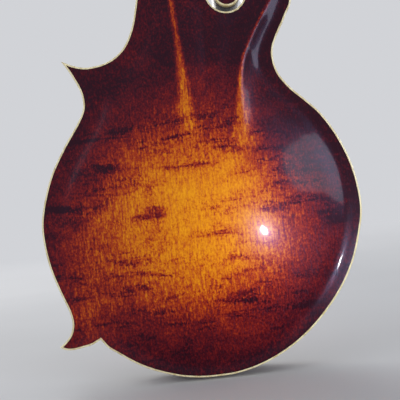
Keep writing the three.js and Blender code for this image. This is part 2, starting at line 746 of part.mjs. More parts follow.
function addLinings() {
  const gap = ribThickness + glueGap;
  const inside = solidOf(prismAlongY(insetOutline(topStretches, gap), -halfRim, halfRim));
  const clearOfBlocks = (solid) => {
    const tall = 2 * rimDepth;
    const wide = 2 * bodyHalfWidth;
    const tailHalf = tailBlockHalfWidth + seatGap;
    const tail = boxBetween([-tailHalf, -tall, -cutOverrun], [tailHalf, tall, tailBlockDepth + seatGap]);
    const headLow = [-wide, -tall, headBlockStartShare * bodyLength - seatGap];
    const headEnd = boxBetween(headLow, [wide, tall, 2 * bodyLength]);
    let cleared = solid.subtract(solidOf(tail)).subtract(solidOf(headEnd));
    for (const [, insideShare, lowShare, highShare] of pointBlockShares) {
      const low = [insideShare * bodyHalfWidth - seatGap, -tall, lowShare * bodyLength - seatGap];
      cleared = cleared.subtract(solidOf(boxBetween(low, [wide, tall, highShare * bodyLength + seatGap])));
    }
    return cleared;
  };
  for (const [side, shares] of [['treble', trebleLiningShares], ['bass', bassLiningShares]]) {
    const edge = smoothStretch(shares, bodyHalfWidth, bodyLength, 4 * curveTolerance);
    const strip = [...shifted(edge, ribThickness), ...shifted(edge, gap + liningWidth).reverse()];
    for (const [plate, facing] of [['top', -1], ['back', 1]]) {
      const glueFace = facing * (halfRim - glueGap);
      const span = [glueFace, glueFace - facing * liningHeight].sort((a, b) => a - b);
      const run = solidOf(prismAlongY(strip, ...span)).intersect(inside);
      const parts = clearOfBlocks(run).decompose().sort((a, b) => b.volume() - a.volume());
      piece(body, `${side}_${plate}_lining`, parts[0], bareWood);
    }
  }
}

// Two spruce bars under the top, fitted to its inner face.
const toneBarLowShare = 0.19;
const toneBarHighShare = 0.7;
const toneBarWidth = 6;
const toneBarHeight = 11;
const toneBarEndShare = 0.25;
const toneBarTaper = 0.7;
const toneBarSteps = 7;
const toneBarShares = [['bass_tone_bar', -0.331, -0.15], ['treble_tone_bar', 0.37, 0.165]];
function addToneBars() {
  const room = (x, z) => hollowHeight(x, z, topCrown) - glueGap;
  for (const [name, lowShare, highShare] of toneBarShares) {
    const rings = Array.from({ length: toneBarSteps + 1 }, (_, i) => {
      const t = i / toneBarSteps;
      const x = lerp(lowShare, highShare, t) * bodyHalfWidth;
      const z = lerp(toneBarLowShare, toneBarHighShare, t) * bodyLength;
      const height = toneBarHeight * lerp(toneBarEndShare, 1, Math.sin(Math.PI * t) ** toneBarTaper);
      const roof = -halfRim - hollowHeight(x, z, topCrown);
      const [a, b] = [x - toneBarWidth / 2, x + toneBarWidth / 2];
      const overlap = roof - plateThickness;
      return [[a, overlap, z], [b, overlap, z], [b, roof + height, z], [a, roof + height, z]];
    });
    const fitted = solidOf(loft(rings)).intersect(archedSlab(-halfRim, room, -1, innerColumns, innerRows));
    piece(body, name, fitted, bareWood);
  }
}

// Neck and headstock

const heelStartShare = 0.76;
const heelEndShare = 0.935;
const heelCurve = 2.1;
const heelOverShare = 1.25;
const neckFlankRoundness = 0.85;
const neckBackRoundness = 0.9;
const neckSides = 12;
const boardHalfAt = (z) => lerp(nutHalfWidth, jointHalfWidth, -z / jointDistance);
const heelStart = heelStartShare * jointDistance;
const heelEnd = heelEndShare * jointDistance;

function neckDepthAt(z) {
  const shaft = lerp(neckDepthAtNut, neckDepthAtHeel, Math.min(1, -z / heelStart));
  const heel = Math.max(0, (-z - heelStart) / (heelEnd - heelStart));
  const heelDepth = boardRiseAtJoint + halfRim - boardThickness;
  return shaft + (heelDepth - shaft) * Math.min(heel ** heelCurve, heelOverShare);
}

function neckRing(z) {
  const half = boardHalfAt(z);
  const depth = neckDepthAt(z);
  return Array.from({ length: neckSides + 1 }, (_, i) => {
    const turn = (i / neckSides) * Math.PI;
    const x = half * Math.sign(Math.cos(turn)) * Math.abs(Math.cos(turn)) ** neckFlankRoundness;
    return [x, boardThickness + glueGap + depth * Math.sin(turn) ** neckBackRoundness, z];
  });
}

const headSideShares = [
  [0.48, 0], [0.54, 0.045], [0.7, 0.1], [0.92, 0.155], [1, 0.205], [1, 0.3], [0.985, 0.45], [1, 0.62],
  [1.03, 0.7], [1.16, 0.79], [1.42, 0.875],
];
const headCrestShares = [
  [1.42, 0.875], [1.16, 0.86], [0.9, 0.845], [0.62, 0.842], [0.36, 0.853], [0.06, 0.88],
];
const headScrollShares = [
  [-0.455, 0.915], [-0.47, 0.945], [-0.56, 0.974], [-0.7, 0.992], [-0.87, 0.995], [-1.03, 0.978],
  [-1.16, 0.942], [-1.24, 0.89], [-1.2, 0.825], [-1.09, 0.77], [-1.01, 0.7], [-0.985, 0.62],
  [-0.985, 0.45], [-1, 0.3], [-1, 0.205], [-0.92, 0.155], [-0.7, 0.1], [-0.54, 0.045], [-0.48, 0],
];
const headEyeShare = [-0.63, 0.892];
const headEyeRadius = 5.4;
const headSlotWidth = 2.6;
const headSlotEnd = 1.8;
const headTolerance = 0.5;

// Up the treble side to the point; along the crest, round the slot of the scroll and down the bass side.
function headOutlineStretches() {
  const sized = (shares) => shares.map(([x, z]) => [x * headHalfWidth, z * headLength]);
  const eye = sized([headEyeShare])[0];
  const slot = slotKnots(eye, headEyeRadius, headSlotWidth, headSlotEnd).slice(1);
  const knots = [...sized(headCrestShares), ...slot, ...sized(headScrollShares)];
  const side = smoothStretch(headSideShares, headHalfWidth, headLength, headTolerance);
  return [side, smoothStretch(knots, 1, 1, headTolerance)];
}
const headStretches = headOutlineStretches();
headStretches.push([headStretches[1].at(-1), headStretches[0][0]]);

const boreSides = 6;
const postHeights = [0, 1, 2, 3].map((i) => firstPostHeight + i * tunerPitch);
function postBores(front, back) {
  const bores = [-1, 1].flatMap((side) => postHeights.map((z) => {
    const bore = boreAlong('y', postRadius + runGap, front - cutOverrun, back + cutOverrun, boreSides);
    return bore.translate(side * postOffset, 0, z);
  }));
  return joined(...bores);
}

// The truss rod lies in a channel under the fingerboard and ends in a pocket behind the nut.
const pocketLow = 3;
const pocketHigh = 25;
const pocketHalfWidth = 5.5;
const pocketDepth = 11;
const rodAxis = boardThickness + glueGap + rodDepth;
const rodReach = 15;
const rodEnd = nutLength + rodReach;
const rodEndRoom = 1;
const rodHeelMargin = 8;
const rodHeelRoom = 2;
const underBoard = boardThickness + glueGap;

// The neck's wood ends at the ribs. A tongue of it carries on under the fingerboard, clear of the top.
const neckStationShares = [
  0.029, 0, -0.196, -0.441, -0.662, -0.775, -0.824, -0.863, -0.897, -0.926, -0.956, -0.995, -1.049,
];
const topRoom = 1.2;
const tongueOverlap = 6;
const tongueSetback = 4;
const tongueInset = 3.5;
const tongueDepth = 3.2;
const tongueTipDepth = 1.6;
const headShoulder = 1;

const fretAt = (n) => -scaleLength * (1 - 2 ** (-n / 12));

function neckTongue() {
  const start = -jointDistance + tongueOverlap;
  const end = fretAt(fretCount) + tongueSetback;
  const outline = [
    [start, underBoard], [end, underBoard], [end, underBoard + tongueTipDepth],
    [-jointDistance, underBoard + tongueDepth], [start, underBoard + tongueDepth],
  ];
  const half = jointHalfWidth - tongueInset;
  return solidOf(prismAlongX(outline, -half, half));
}

// What the shaft and heel keep clear of: the body in front of the joint, and the back's button over the heel.
function bodyRoom() {
  const high = bodyHalfWidth;
  const joint = boxBetween([-high, -plateEdge - topRoom, -bodyLength], [high, high, neckJointZ + seatGap]);
  const cap = boxBetween([-high, halfRim - seatGap, -bodyLength], [high, high, 2 * bodyLength]);
  const heelOnly = boxBetween([-high, -bodyLength, -bodyLength], [high, bodyLength, -heelStart]);
  return solidOf(intoNeck(joint)).add(solidOf(intoNeck(cap)).intersect(solidOf(heelOnly)));
}

function headCore() {
  const insetShape = insetOutline(headStretches, headBindingWidth + glueGap);
  const front = prismAlongY(insetShape, veneerThickness + glueGap, headBindingHeight + headShoulder);
  const back = prismAlongY(insetOutline(headStretches, 0), headBindingHeight + glueGap, headThickness);
  return solidOf(fromHead(geometryOf(joined(front, back).subtract(postBores(0, headThickness)))));
}

function addNeck() {
  const shaft = solidOf(loft(neckStationShares.map((share) => neckRing(share * jointDistance))));
  const pocketFront = [-pocketHalfWidth, -cutOverrun, pocketLow];
  const pocket = boxBetween(pocketFront, [pocketHalfWidth, pocketDepth, pocketHigh]);
  const channelHalf = rodRadius + runGap;
  const channel = boxBetween(
    [-channelHalf, boardThickness, -heelEnd + rodHeelMargin - rodHeelRoom],
    [channelHalf, rodAxis + channelHalf, rodEnd],
  );
  const nutSeat = boxBetween(
    [-headHalfWidth, -headDrop, -seatGap],
    [headHalfWidth, underBoard, nutLength + 1.5 * seatGap],
  );
  const faceLow = [-bodyHalfWidth, -bodyLength, -bodyLength];
  const aboveBoard = boxBetween(faceLow, [bodyHalfWidth, underBoard, bodyLength]);
  const wood = shaft.add(neckTongue()).subtract(bodyRoom())
    .add(solidOf(intoNeck(dovetail(0))).subtract(solidOf(aboveBoard)))
    .add(headCore())
    .subtract(solidOf(fromHead(pocket.clone())))
    .subtract(solidOf(channel))
    .subtract(solidOf(nutSeat));
  piece(neck, 'neck', wood, neckMaple);

  const rod = cylinderAlong('z', rodRadius, -heelEnd + rodHeelMargin, rodEnd - rodEndRoom, boreSides);
  piece(neck, 'truss_rod', rod.translate(0, rodAxis, 0), steel);

  const veneer = prismAlongY(insetOutline(headStretches, headBindingWidth + glueGap), 0, veneerThickness);
  const veneerCut = solidOf(veneer).subtract(postBores(0, veneerThickness)).subtract(solidOf(pocket));
  piece(head, 'headstock_veneer', veneerCut, blackLacquer);
  const inside = insetOutline(headStretches, headBindingWidth);
  const ring = prismAlongY(insetOutline(headStretches, 0), 0, headBindingHeight, [inside]);
  const nutEnd = boxBetween(
    [-headHalfWidth, -cutOverrun, -cutOverrun],
    [headHalfWidth, headThickness, headBindingWidth + headShoulder],
  );
  piece(head, 'headstock_binding', solidOf(ring).subtract(solidOf(nutEnd)), ivoroid);
  addRodCover();
}

// A bell-shaped cover over the truss rod's pocket.
const rodCoverHalfWidth = 7.6;
const rodCoverLength = 28;
const rodCoverThickness = 1.8;
const rodCoverSideShares = [
  [0.855, 0], [1, 0.107], [0.947, 0.25], [0.658, 0.464], [0.553, 0.679], [0.447, 0.857],
];
function addRodCover() {
  const side = rodCoverSideShares.map(([x, z]) => [x * rodCoverHalfWidth, pocketLow + z * rodCoverLength]);
  const outline = mirrored([...side, [0, pocketLow + rodCoverLength]]);
  piece(head, 'truss_rod_cover', prismAlongY(outline, -glueGap - rodCoverThickness, -glueGap), blackLacquer);
}

// Fingerboard with its frets, its binding, and the nut

const boardOverhang = 5;
const extensionOverhang = 2.5;
const extensionInner = 1.5;
const extensionCorner = 2;
const boardScoopShares = [[-0.45, 0.045], [-0.2, 0.11], [0.073, 0.62]];
const fretRoot = 0.5;
const fretEndMargin = 1.6;
const boardEnd = fretAt(fretCount) - boardOverhang;
const extensionEnd = fretAt(lastShortFret) - extensionOverhang;

// The board ends past its last full fret, and runs on under the treble strings.
function boardOutline(inset, nutEnd) {
  const half = (z) => boardHalfAt(z) - inset;
  const [scoopStart, scoopMiddle, scoopEnd] = boardScoopShares.map(([across, along]) => (
    [across * jointHalfWidth, lerp(boardEnd, extensionEnd, along)]
  ));
  return [
    [half(extensionEnd), extensionEnd + inset], [half(nutEnd), nutEnd], [-half(nutEnd), nutEnd],
    [-half(boardEnd), boardEnd + inset], [scoopStart[0], scoopStart[1] + inset],
    [scoopMiddle[0], scoopMiddle[1] + inset], [scoopEnd[0] + inset, scoopEnd[1]],
    [extensionInner + extensionCorner + inset, extensionEnd + inset + extensionCorner],
    [extensionInner + 2.5 * extensionCorner, extensionEnd + inset],
  ];
}

function fretBar(n) {
  const z = fretAt(n);
  const half = boardHalfAt(z) - boardBindingWidth - glueGap;
  const left = n > fretCount ? extensionInner + boardBindingWidth + fretEndMargin : -half;
  const crown = [
    [z - fretWidth / 2, fretRoot], [z - fretWidth / 3, -fretHeight],
    [z + fretWidth / 3, -fretHeight], [z + fretWidth / 2, fretRoot],
  ];
  return prismAlongX(crown, left, half);
}

const nutFrontShare = 0.6;
function addFingerboard() {
  const inner = boardOutline(boardBindingWidth + glueGap, -glueGap);
  const frets = joined(...Array.from({ length: lastShortFret }, (_, i) => fretBar(i + 1)));
  const fretted = solidOf(prismAlongY(inner, -2 * fretHeight, boardThickness)).intersect(frets);
  piece(neck, 'fingerboard', fretted.add(solidOf(prismAlongY(inner, 0, boardThickness))), ebony);
  const outside = solidOf(prismAlongY(boardOutline(0, -glueGap), 0, boardThickness));
  const innerLine = boardOutline(boardBindingWidth, cutOverrun);
  const inside = solidOf(prismAlongY(innerLine, -cutOverrun, boardThickness + cutOverrun));
  piece(neck, 'fingerboard_binding', outside.subtract(inside), ivoroid);

  const nutOutline = [
    [glueGap, boardThickness - glueGap], [nutLength, boardThickness - glueGap],
    [nutLength, -nutRise * nutFrontShare], [glueGap, -nutRise],
  ];
  const slots = strings().map((string) => {
    const half = string.radius + runGap / 2;
    const bottom = -nutAction + string.radius + seatGap;
    const low = [string.nutX - half, -2 * nutRise, -nutLength];
    return boxBetween(low, [string.nutX + half, bottom, 2 * nutLength]);
  });
  const blank = solidOf(prismAlongX(nutOutline, -nutHalfWidth, nutHalfWidth));
  piece(neck, 'nut', blank.subtract(joined(...slots)), bone);
}

// Tuners: four on a plate each side. Each knob's worm turns its post's gear.

const wormPitch = (2 * Math.PI * gearPitchRadius) / gearTeeth;
const wormAxisBack = tunerPlateThickness + wormPitchRadius + toothAddendum + 2 * runGap;
const wormOffset = gearPitchRadius + wormPitchRadius;
const wormEndRoom = 0.6;
const lugOffset = (wormTurns * wormPitch) / 2 + wormEndRoom + runGap + lugThickness / 2;
const plateBack = headThickness + glueGap;

// A helical gear, its mid plane at Y 0, with a gap between two teeth facing +Z.
function gearGeometry() {
  const slant = wormPitch / (2 * Math.PI * wormPitchRadius) / gearPitchRadius;
  const tip = gearPitchRadius + toothAddendum;
  const root = gearPitchRadius - toothDedendum;
  const tipTurn = toothTipWidth / 2 / tip;
  const rings = [-1, 1].map((end) => {
    const y = (end * gearThickness) / 2;
    return Array.from({ length: gearTeeth }, (_, k) => {
      const gap = (k / gearTeeth) * 2 * Math.PI + slant * y;
      const tooth = gap + Math.PI / gearTeeth;
      const corners = [[root, gap], [tip, tooth - tipTurn], [tip, tooth + tipTurn]];
      return corners.map(([radius, turn]) => [radius * Math.sin(turn), y, radius * Math.cos(turn)]);
    }).flat();
  });
  return loft(rings);
}

// The post's turned profile, from its tip in front of the headstock: the groove takes the string.
const postTip = 1;
const postGroove = 3.6;
const postShoulder = 6.4;
const postTipShare = 0.8;
const postGrooveShare = 0.75;
const postHubShare = 0.6;
const hubShoulder = 0.5;
const hubNut = 0.6;
const postSides = 6;
function postGeometry() {
  const front = -headThickness - postReach;
  const gearLow = wormAxisBack - gearThickness / 2;
  const gearHigh = wormAxisBack + gearThickness / 2;
  const profile = [
    [0, front], [postTipShare, front], [1, front + postTip], [postGrooveShare, front + postGroove],
    [1, front + postShoulder], [1, gearLow - hubShoulder], [postHubShare, gearLow + hubShoulder],
    [postHubShare, gearHigh + hubNut], [0, gearHigh + hubNut],
  ].map(([share, y]) => new THREE.Vector2(share * postRadius, y));
  return joined(new THREE.LatheGeometry(profile, postSides), gearGeometry().translate(0, wormAxisBack, 0));
}

// The worm's thread, swept along a helix round X.
const threadSides = 6;
const threadSink = 0.4;
function wormThread() {
  const tip = wormPitchRadius + toothAddendum;
  const root = wormPitchRadius - toothDedendum - threadSink;
  const rings = Array.from({ length: wormTurns * threadSides + 1 }, (_, i) => {
    const turn = (i / threadSides - wormTurns / 2) * 2 * Math.PI;
    const x = (wormPitch * turn) / (2 * Math.PI);
    const corners = [[root, -threadRootWidth], [tip, 0], [root, threadRootWidth]];
    const [up, over] = [Math.sin(turn), -Math.cos(turn)];
    return corners.map(([radius, width]) => [x + width / 2, radius * up, radius * over]);
  });
  return loft(rings);
}

// Shaft and button in one. The button's stations are shares of its length, thickness and width.
const buttonShares = [
  [0, 0.35, 0.3], [0.14, 0.75, 0.72], [0.45, 1, 1], [0.78, 0.86, 0.88], [1, 0.36, 0.42],
];
const knobSides = 8;
const buttonCollar = 0.5;
function knobGeometry(side) {
  const stations = [
    [-lugOffset - lugThickness, wormShaftRadius, wormShaftRadius],
    [buttonStandOff - buttonCollar, wormShaftRadius, wormShaftRadius],
    ...buttonShares.map(([along, thick, wide]) => [
      buttonStandOff + along * buttonLength, (thick * buttonThickness) / 2, (wide * buttonWidth) / 2,
    ]),
  ];
  const rings = stations.map(([x, thick, wide]) => Array.from({ length: knobSides }, (_, i) => {
    const turn = (i / knobSides) * 2 * Math.PI;
    return [side * x, thick * Math.sin(turn), wide * Math.cos(turn)];
  }));
  return joined(loft(rings), wormThread());
}

// A plate with a pair of lugs for each worm, standing clear of the gear between them.
const plateMarginLow = 9;
const plateMarginHigh = 6;
const plateCornerWidth = 1.5;
const plateCornerLength = 3;
const lugLow = 2.2;
const lugHigh = 3;
const lugWall = 1.2;
const lugBoreSides = 6;
function tunerPlate(side) {
  const low = postHeights[0] - plateMarginLow;
  const high = postHeights.at(-1) + wormOffset + plateMarginHigh;
  const outline = mirrored([
    [tunerPlateHalfWidth - plateCornerWidth, low], [tunerPlateHalfWidth, low + plateCornerLength],
    [tunerPlateHalfWidth, high - plateCornerLength], [tunerPlateHalfWidth - plateCornerWidth, high],
  ]);
  let plate = solidOf(prismAlongY(outline, 0, tunerPlateThickness));
  for (const z of postHeights) {
    const axisZ = z + wormOffset;
    const lugs = [-lugOffset, lugOffset].map((x) => boxBetween(
      [x - lugThickness / 2, 0, axisZ - lugLow],
      [x + lugThickness / 2, wormAxisBack + wormShaftRadius + lugWall, axisZ + lugHigh],
    ));
    const reach = lugOffset + lugThickness;
    const bore = boreAlong('x', wormShaftRadius + runGap, -reach, reach, lugBoreSides);
    const postBore = boreAlong('y', postRadius + runGap, -cutOverrun, 2 * cutOverrun, boreSides);
    const bores = joined(bore.translate(0, wormAxisBack, axisZ), postBore.translate(0, 0, z));
    plate = plate.add(joined(...lugs)).subtract(bores);
  }
  return geometryOf(plate).translate(side * postOffset, plateBack, 0);
}

function addTuners() {
  piece(head, 'bass_tuner_plate', tunerPlate(-1), nickel);
  piece(head, 'treble_tuner_plate', tunerPlate(1), nickel);
  for (const string of strings()) {
    const z = postHeights[string.post];
    const post = piece(head, `tuner_post_${string.name}`, postGeometry(), nickel);
    post.position.set(string.side * postOffset, plateBack, z);
    const knob = piece(head, `tuner_knob_${string.name}`, knobGeometry(string.side), pearl);
    knob.position.set(string.side * postOffset, plateBack + wormAxisBack, z + wormOffset);
  }
}

// Strings run straight from the tailpiece's hooks over the saddle and the nut to the posts.

function strings() {
  return courses.flatMap(({ name, radius, nutShare, posts }) => [0, 1].map((i) => {
    const side = Math.sign(nutShare);
    const pair = side * (i - 0.5);
    const outwards = i === 1;
    return {
      name: `${name}${i + 1}`,
      radius,
      side,
      post: outwards ? posts[0] : posts[1],
      nutX: nutShare * nutSpread + pair * nutPairGap,
      saddleX: nutShare * saddleSpread + pair * saddlePairGap,
      hookX: nutShare * hookSpread + pair * hookPairGap,
      hookLift: outwards ? 0 : 1,
    };
  }));
}

const stringAtSaddle = () => neck.localToWorld(new THREE.Vector3(0, -saddleAction, -scaleLength));
const tailFrame = new THREE.Group();
tailFrame.position.set(0, -plateEdge - tailpieceLift, 0);
tailFrame.rotation.x = tailpieceAngle;
instrument.add(tailFrame);
instrument.updateMatrixWorld(true);

const nutBreakShare = 0.8;
const windingHeight = 4.2;
const windingBefore = 1;
const windingAfter = 0.5;
const woundRadius = 0.3;
const stringSides = 5;
function addStrings() {
  const toBody = (group, x, y, z) => instrument.worldToLocal(group.localToWorld(new THREE.Vector3(x, y, z)));
  const contact = instrument.worldToLocal(stringAtSaddle());
  for (const string of strings()) {
    const lift = string.radius + runGap;
    const reach = string.side * (postOffset - postRadius - string.radius - seatGap);
    const height = -postReach + windingHeight;
    const postZ = postHeights[string.post];
    const hookEnd = hookZ + string.hookLift * hookStep + hookHalfThickness + seatGap;
    const points = [
      toBody(tailFrame, string.hookX, -tailpieceSheet - hookHeight + hookTipThickness, hookEnd),
      new THREE.Vector3(string.saddleX, contact.y - lift, contact.z),
      toBody(neck, string.nutX, -nutAction, 0),
      toBody(neck, string.nutX, -nutAction, nutLength * nutBreakShare),
      toBody(head, reach, height, postZ - windingBefore),
      toBody(head, reach, height, postZ + windingAfter),
    ];
    const look = string.radius > woundRadius ? bronze : steel;
    piece(instrument, `string_${string.name}`, rodThrough(points, string.radius, stringSides), look);
  }
}

// Bridge: an arched base, two threaded posts with thumbwheels, and the saddle they carry.

const bridgeTipLength = 4;
const bridgeTipDrop = 7;
const bridgeShoulderDrop = 3.5;
const bridgePostMargin = 9;
const footMargin = 10;
const footSlope = 2;
const bridgePostRoot = 2;
const bridgePostReach = 3.4;
const postEndRoom = 0.8;
const saddleTipLength = 14;
const saddleTipDrop = 1.5;
const saddleShoulderShare = 0.45;
const saddleCrestMargin = 8;
const saddleChamfer = 1.4;
const saddleEdge = 0.6;
const bridgePostSides = 10;
const wheelGrips = 10;
const gripShare = 0.95;

const bridgePlace = () => {
  const { y: saddleTop, z } = instrument.worldToLocal(stringAtSaddle());
  const saddleBottom = saddleTop + saddleHeight;
  const baseTop = saddleBottom + runGap + wheelThickness + saddleTravel + runGap;
  return { saddleTop, saddleBottom, baseTop, z };
};

function bridgeBase({ baseTop, saddleBottom, z }) {
  const half = bridgeBaseLength / 2;
  const outline = mirrored([
    [bridgePostOffset + bridgePostMargin, baseTop], [half - bridgeTipLength, baseTop + bridgeShoulderDrop],
    [half, baseTop + bridgeTipDrop], [half, -halfRim],
  ]);
  const footHalf = bridgePostOffset - footMargin;
  const between = mirrored([[footHalf, -halfRim + cutOverrun], [footHalf - footSlope, baseTop + footLift]]);
  const overTop = (x, bodyZ) => outerHeight(x, bodyZ, topCrown) + seatGap;
  const under = archedSlab(-cutOverrun, overTop, -1, outerColumns, outerRows);
  const deep = bridgeBaseDepth / 2;
  const blank = solidOf(prismAlongZ(outline, z - deep, z + deep));
  const cut = solidOf(prismAlongZ(between, z - deep - cutOverrun, z + deep + cutOverrun));
  const posts = [-bridgePostOffset, bridgePostOffset].map((x) => {
    const [high, low] = [saddleBottom - bridgePostReach, baseTop + bridgePostRoot];
    return cylinderAlong('y', bridgePostRadius, high, low, bridgePostSides).translate(x, 0, z);
  });
  return blank.subtract(under).subtract(cut).add(joined(...posts));
}

function bridgeSaddle({ saddleTop, saddleBottom, z }) {
  const half = saddleLength / 2;
  const deep = saddleDepth / 2;
  const shoulder = saddleTop + saddleHeight * saddleShoulderShare;
  const ring = (x, top, topHalf) => [
    [x, saddleBottom, z - deep], [x, saddleBottom, z + deep], [x, top, z + topHalf], [x, top, z - topHalf],
  ];
  const crest = saddleSpread + saddleCrestMargin;
  const side = [
    [crest, saddleTop, saddleEdge], [half - saddleTipLength, shoulder, deep - saddleChamfer],
    [half, shoulder + saddleTipDrop, deep - saddleChamfer],
  ];
  const stations = [...side.map(([x, ...rest]) => [-x, ...rest]).reverse(), ...side];
  const bores = [-bridgePostOffset, bridgePostOffset].map((x) => {
    const end = saddleBottom - bridgePostReach - saddleTravel - postEndRoom;
    const bore = boreAlong('y', bridgePostRadius + runGap, end, saddleBottom + cutOverrun, bridgePostSides);
    return bore.translate(x, 0, z);
  });
  return solidOf(loft(stations.map((station) => ring(...station)))).subtract(joined(...bores));
}

function thumbwheel() {
  const rim = Array.from({ length: 2 * wheelGrips }, (_, i) => {
    const turn = (i / wheelGrips) * Math.PI;
    const radius = wheelRadius * (i % 2 ? gripShare : 1);
    return [radius * Math.cos(turn), radius * Math.sin(turn)];
  });
  const boreRadius = bridgePostRadius + runGap;
  const hole = boreAlong('y', boreRadius, -wheelThickness, 2 * wheelThickness, bridgePostSides);
  return solidOf(prismAlongY(rim, 0, wheelThickness)).subtract(solidOf(hole));
}

function addBridge() {
  const place = bridgePlace();
  piece(body, 'bridge_base', bridgeBase(place), ebony);
  piece(body, 'bridge_saddle', bridgeSaddle(place), ebony);
  for (const [name, side] of [['bass', -1], ['treble', 1]]) {
    const wheel = piece(body, `${name}_thumbwheel`, thumbwheel(), nickel);
    wheel.position.set(side * bridgePostOffset, place.saddleBottom + runGap, place.z);
  }
}

// Tailpiece: a bent base with eight hooks and a flange over the tail, and a cover hinged there.

const tailpieceSideShares = [
  [0.7, -0.012], [0.75, 0.167], [0.85, 0.357], [1, 0.667], [1, 0.952], [0.85, 1],
];
const hingeZ = 7;
const hingeRoom = 1.1;
const hingeSides = 8;
const hingeBack = -tailpieceSheet - hingeRadius - hingeRoom;
const knuckleWall = 1;
const knuckleRadius = hingeRadius + knuckleWall;
const knuckleHalf = 9;
const knuckleSides = 10;
const earThickness = 3.6;
const earRoom = 0.6;
const earSink = 0.4;
const pinHead = 0.4;
const hookHalfThickness = 1.2;
const hookHalfWidth = 0.8;
const hookRoot = 0.5;
const hookTip = 3;
const hookCurl = 0.6;
const hookTipThickness = 1.6;
const flangeHalfWidth = tailpieceSideShares[0][0] * tailpieceHalfWidth;
const flangeRise = 1;

function tailpieceHook({ hookX, hookLift }) {
  const z = hookZ + hookLift * hookStep;
  const top = -tailpieceSheet - hookHeight;
  const outline = [
    [z - hookHalfThickness, hookRoot - tailpieceSheet], [z + hookHalfThickness, hookRoot - tailpieceSheet],
    [z + hookHalfThickness, top], [z - hookTip, top - hookCurl],
    [z - hookTip, top - hookCurl + hookTipThickness], [z - hookHalfThickness, top + hookHalfThickness],
  ];
  return prismAlongX(outline, hookX - hookHalfWidth, hookX + hookHalfWidth);
}

function hingeEar(side) {
  const inner = side * (knuckleHalf + earRoom);
  const [low, high] = [inner, inner + side * earThickness].sort((a, b) => a - b);
  const foot = boxBetween(
    [low, hingeBack, hingeZ - knuckleRadius],
    [high, -tailpieceSheet + earSink, hingeZ + knuckleRadius],
  );
  const eye = cylinderAlong('x', knuckleRadius, low, high, knuckleSides).translate(0, hingeBack, hingeZ);
  return joined(foot, eye);
}

const hingeBore = () => solidOf(
  boreAlong('x', hingeRadius + runGap, -tailpieceHalfWidth, tailpieceHalfWidth, hingeSides)
    .translate(0, hingeBack, hingeZ),
);

function tailpieceBase() {
  const side = tailpieceSideShares.map(([x, z]) => [x * tailpieceHalfWidth, z * tailpieceLength]);
  const sheet = solidOf(prismAlongY(mirrored(side), -tailpieceSheet, 0))
    .add(joined(...strings().map(tailpieceHook)))
    .add(hingeEar(-1))
    .add(hingeEar(1))
    .subtract(hingeBore());
  tailFrame.updateMatrix();
  const sloped = solidOf(geometryOf(sheet).applyMatrix4(tailFrame.matrix));
  const flangeTop = -plateEdge - tailpieceLift;
  const flange = boxBetween(
    [-flangeHalfWidth, flangeTop - flangeRise, -flangeFace],
    [flangeHalfWidth, flangeTop + flangeDrop, -seatGap],
  );
  return sloped.add(solidOf(flange));
}

// The cover's stations, as shares of its length, the tailpiece's half width and the cover's height.
const coverShares = [
  [0, 0.74, 0.5], [0.06, 0.82, 0.84], [0.245, 0.95, 1.02], [0.616, 1.12, 1.05], [0.934, 1.16, 0.98],
  [1, 1.08, 0.92],
];
const coverFlankRoundness = 0.6;
const coverTopRoundness = 0.55;
const coverSides = 8;
const coverHingeGap = 4.5;
const coverOverhang = 3;
const coverArm = 6;
const coverArmThickness = 1.4;
function coverGeometry() {
  const start = hingeZ + coverHingeGap;
  const end = tailpieceLength + coverOverhang;
  const edge = -tailpieceSheet - seatGap;
  const ring = (half, height, z, low) => Array.from({ length: coverSides + 1 }, (_, i) => {
    const turn = (i / coverSides) * Math.PI;
    const x = half * Math.sign(Math.cos(turn)) * Math.abs(Math.cos(turn)) ** coverFlankRoundness;
    return [x, low - height * Math.sin(turn) ** coverTopRoundness, z];
  });
  const shell = (wall, sink) => loft(coverShares.map(([along, wide, tall], i) => {
    const shift = i === 0 ? wall : i === coverShares.length - 1 ? sink : 0;
    const z = lerp(start, end, along) + shift;
    return ring(wide * tailpieceHalfWidth - wall, tall * coverHeight - wall + sink, z, edge + sink);
  }));
  const knuckle = cylinderAlong('x', knuckleRadius, -knuckleHalf, knuckleHalf, knuckleSides);
  const armFront = hingeBack - knuckleRadius;
  const arm = boxBetween(
    [-knuckleHalf, armFront, hingeZ],
    [knuckleHalf, armFront + coverArmThickness, hingeZ + coverArm],
  );
  return solidOf(shell(0, 0)).subtract(solidOf(shell(coverWall, cutOverrun)))
    .add(joined(knuckle.translate(0, hingeBack, hingeZ), arm))
    .subtract(hingeBore());
}

function addTailpiece() {
  piece(body, 'tailpiece_base', tailpieceBase(), nickel);
  const pinHalf = knuckleHalf + earRoom + earThickness + pinHead;
  const pin = cylinderAlong('x', hingeRadius, -pinHalf, pinHalf, hingeSides);
  piece(tailFrame, 'tailpiece_hinge_pin', pin.translate(0, hingeBack, hingeZ), nickel);
  piece(tailFrame, 'tailpiece_cover', coverGeometry(), nickel);
}

// Pickguard beside the fingerboard, as shares of the neck's half width and length at the joint,
// and the strip that carries it from the treble side.

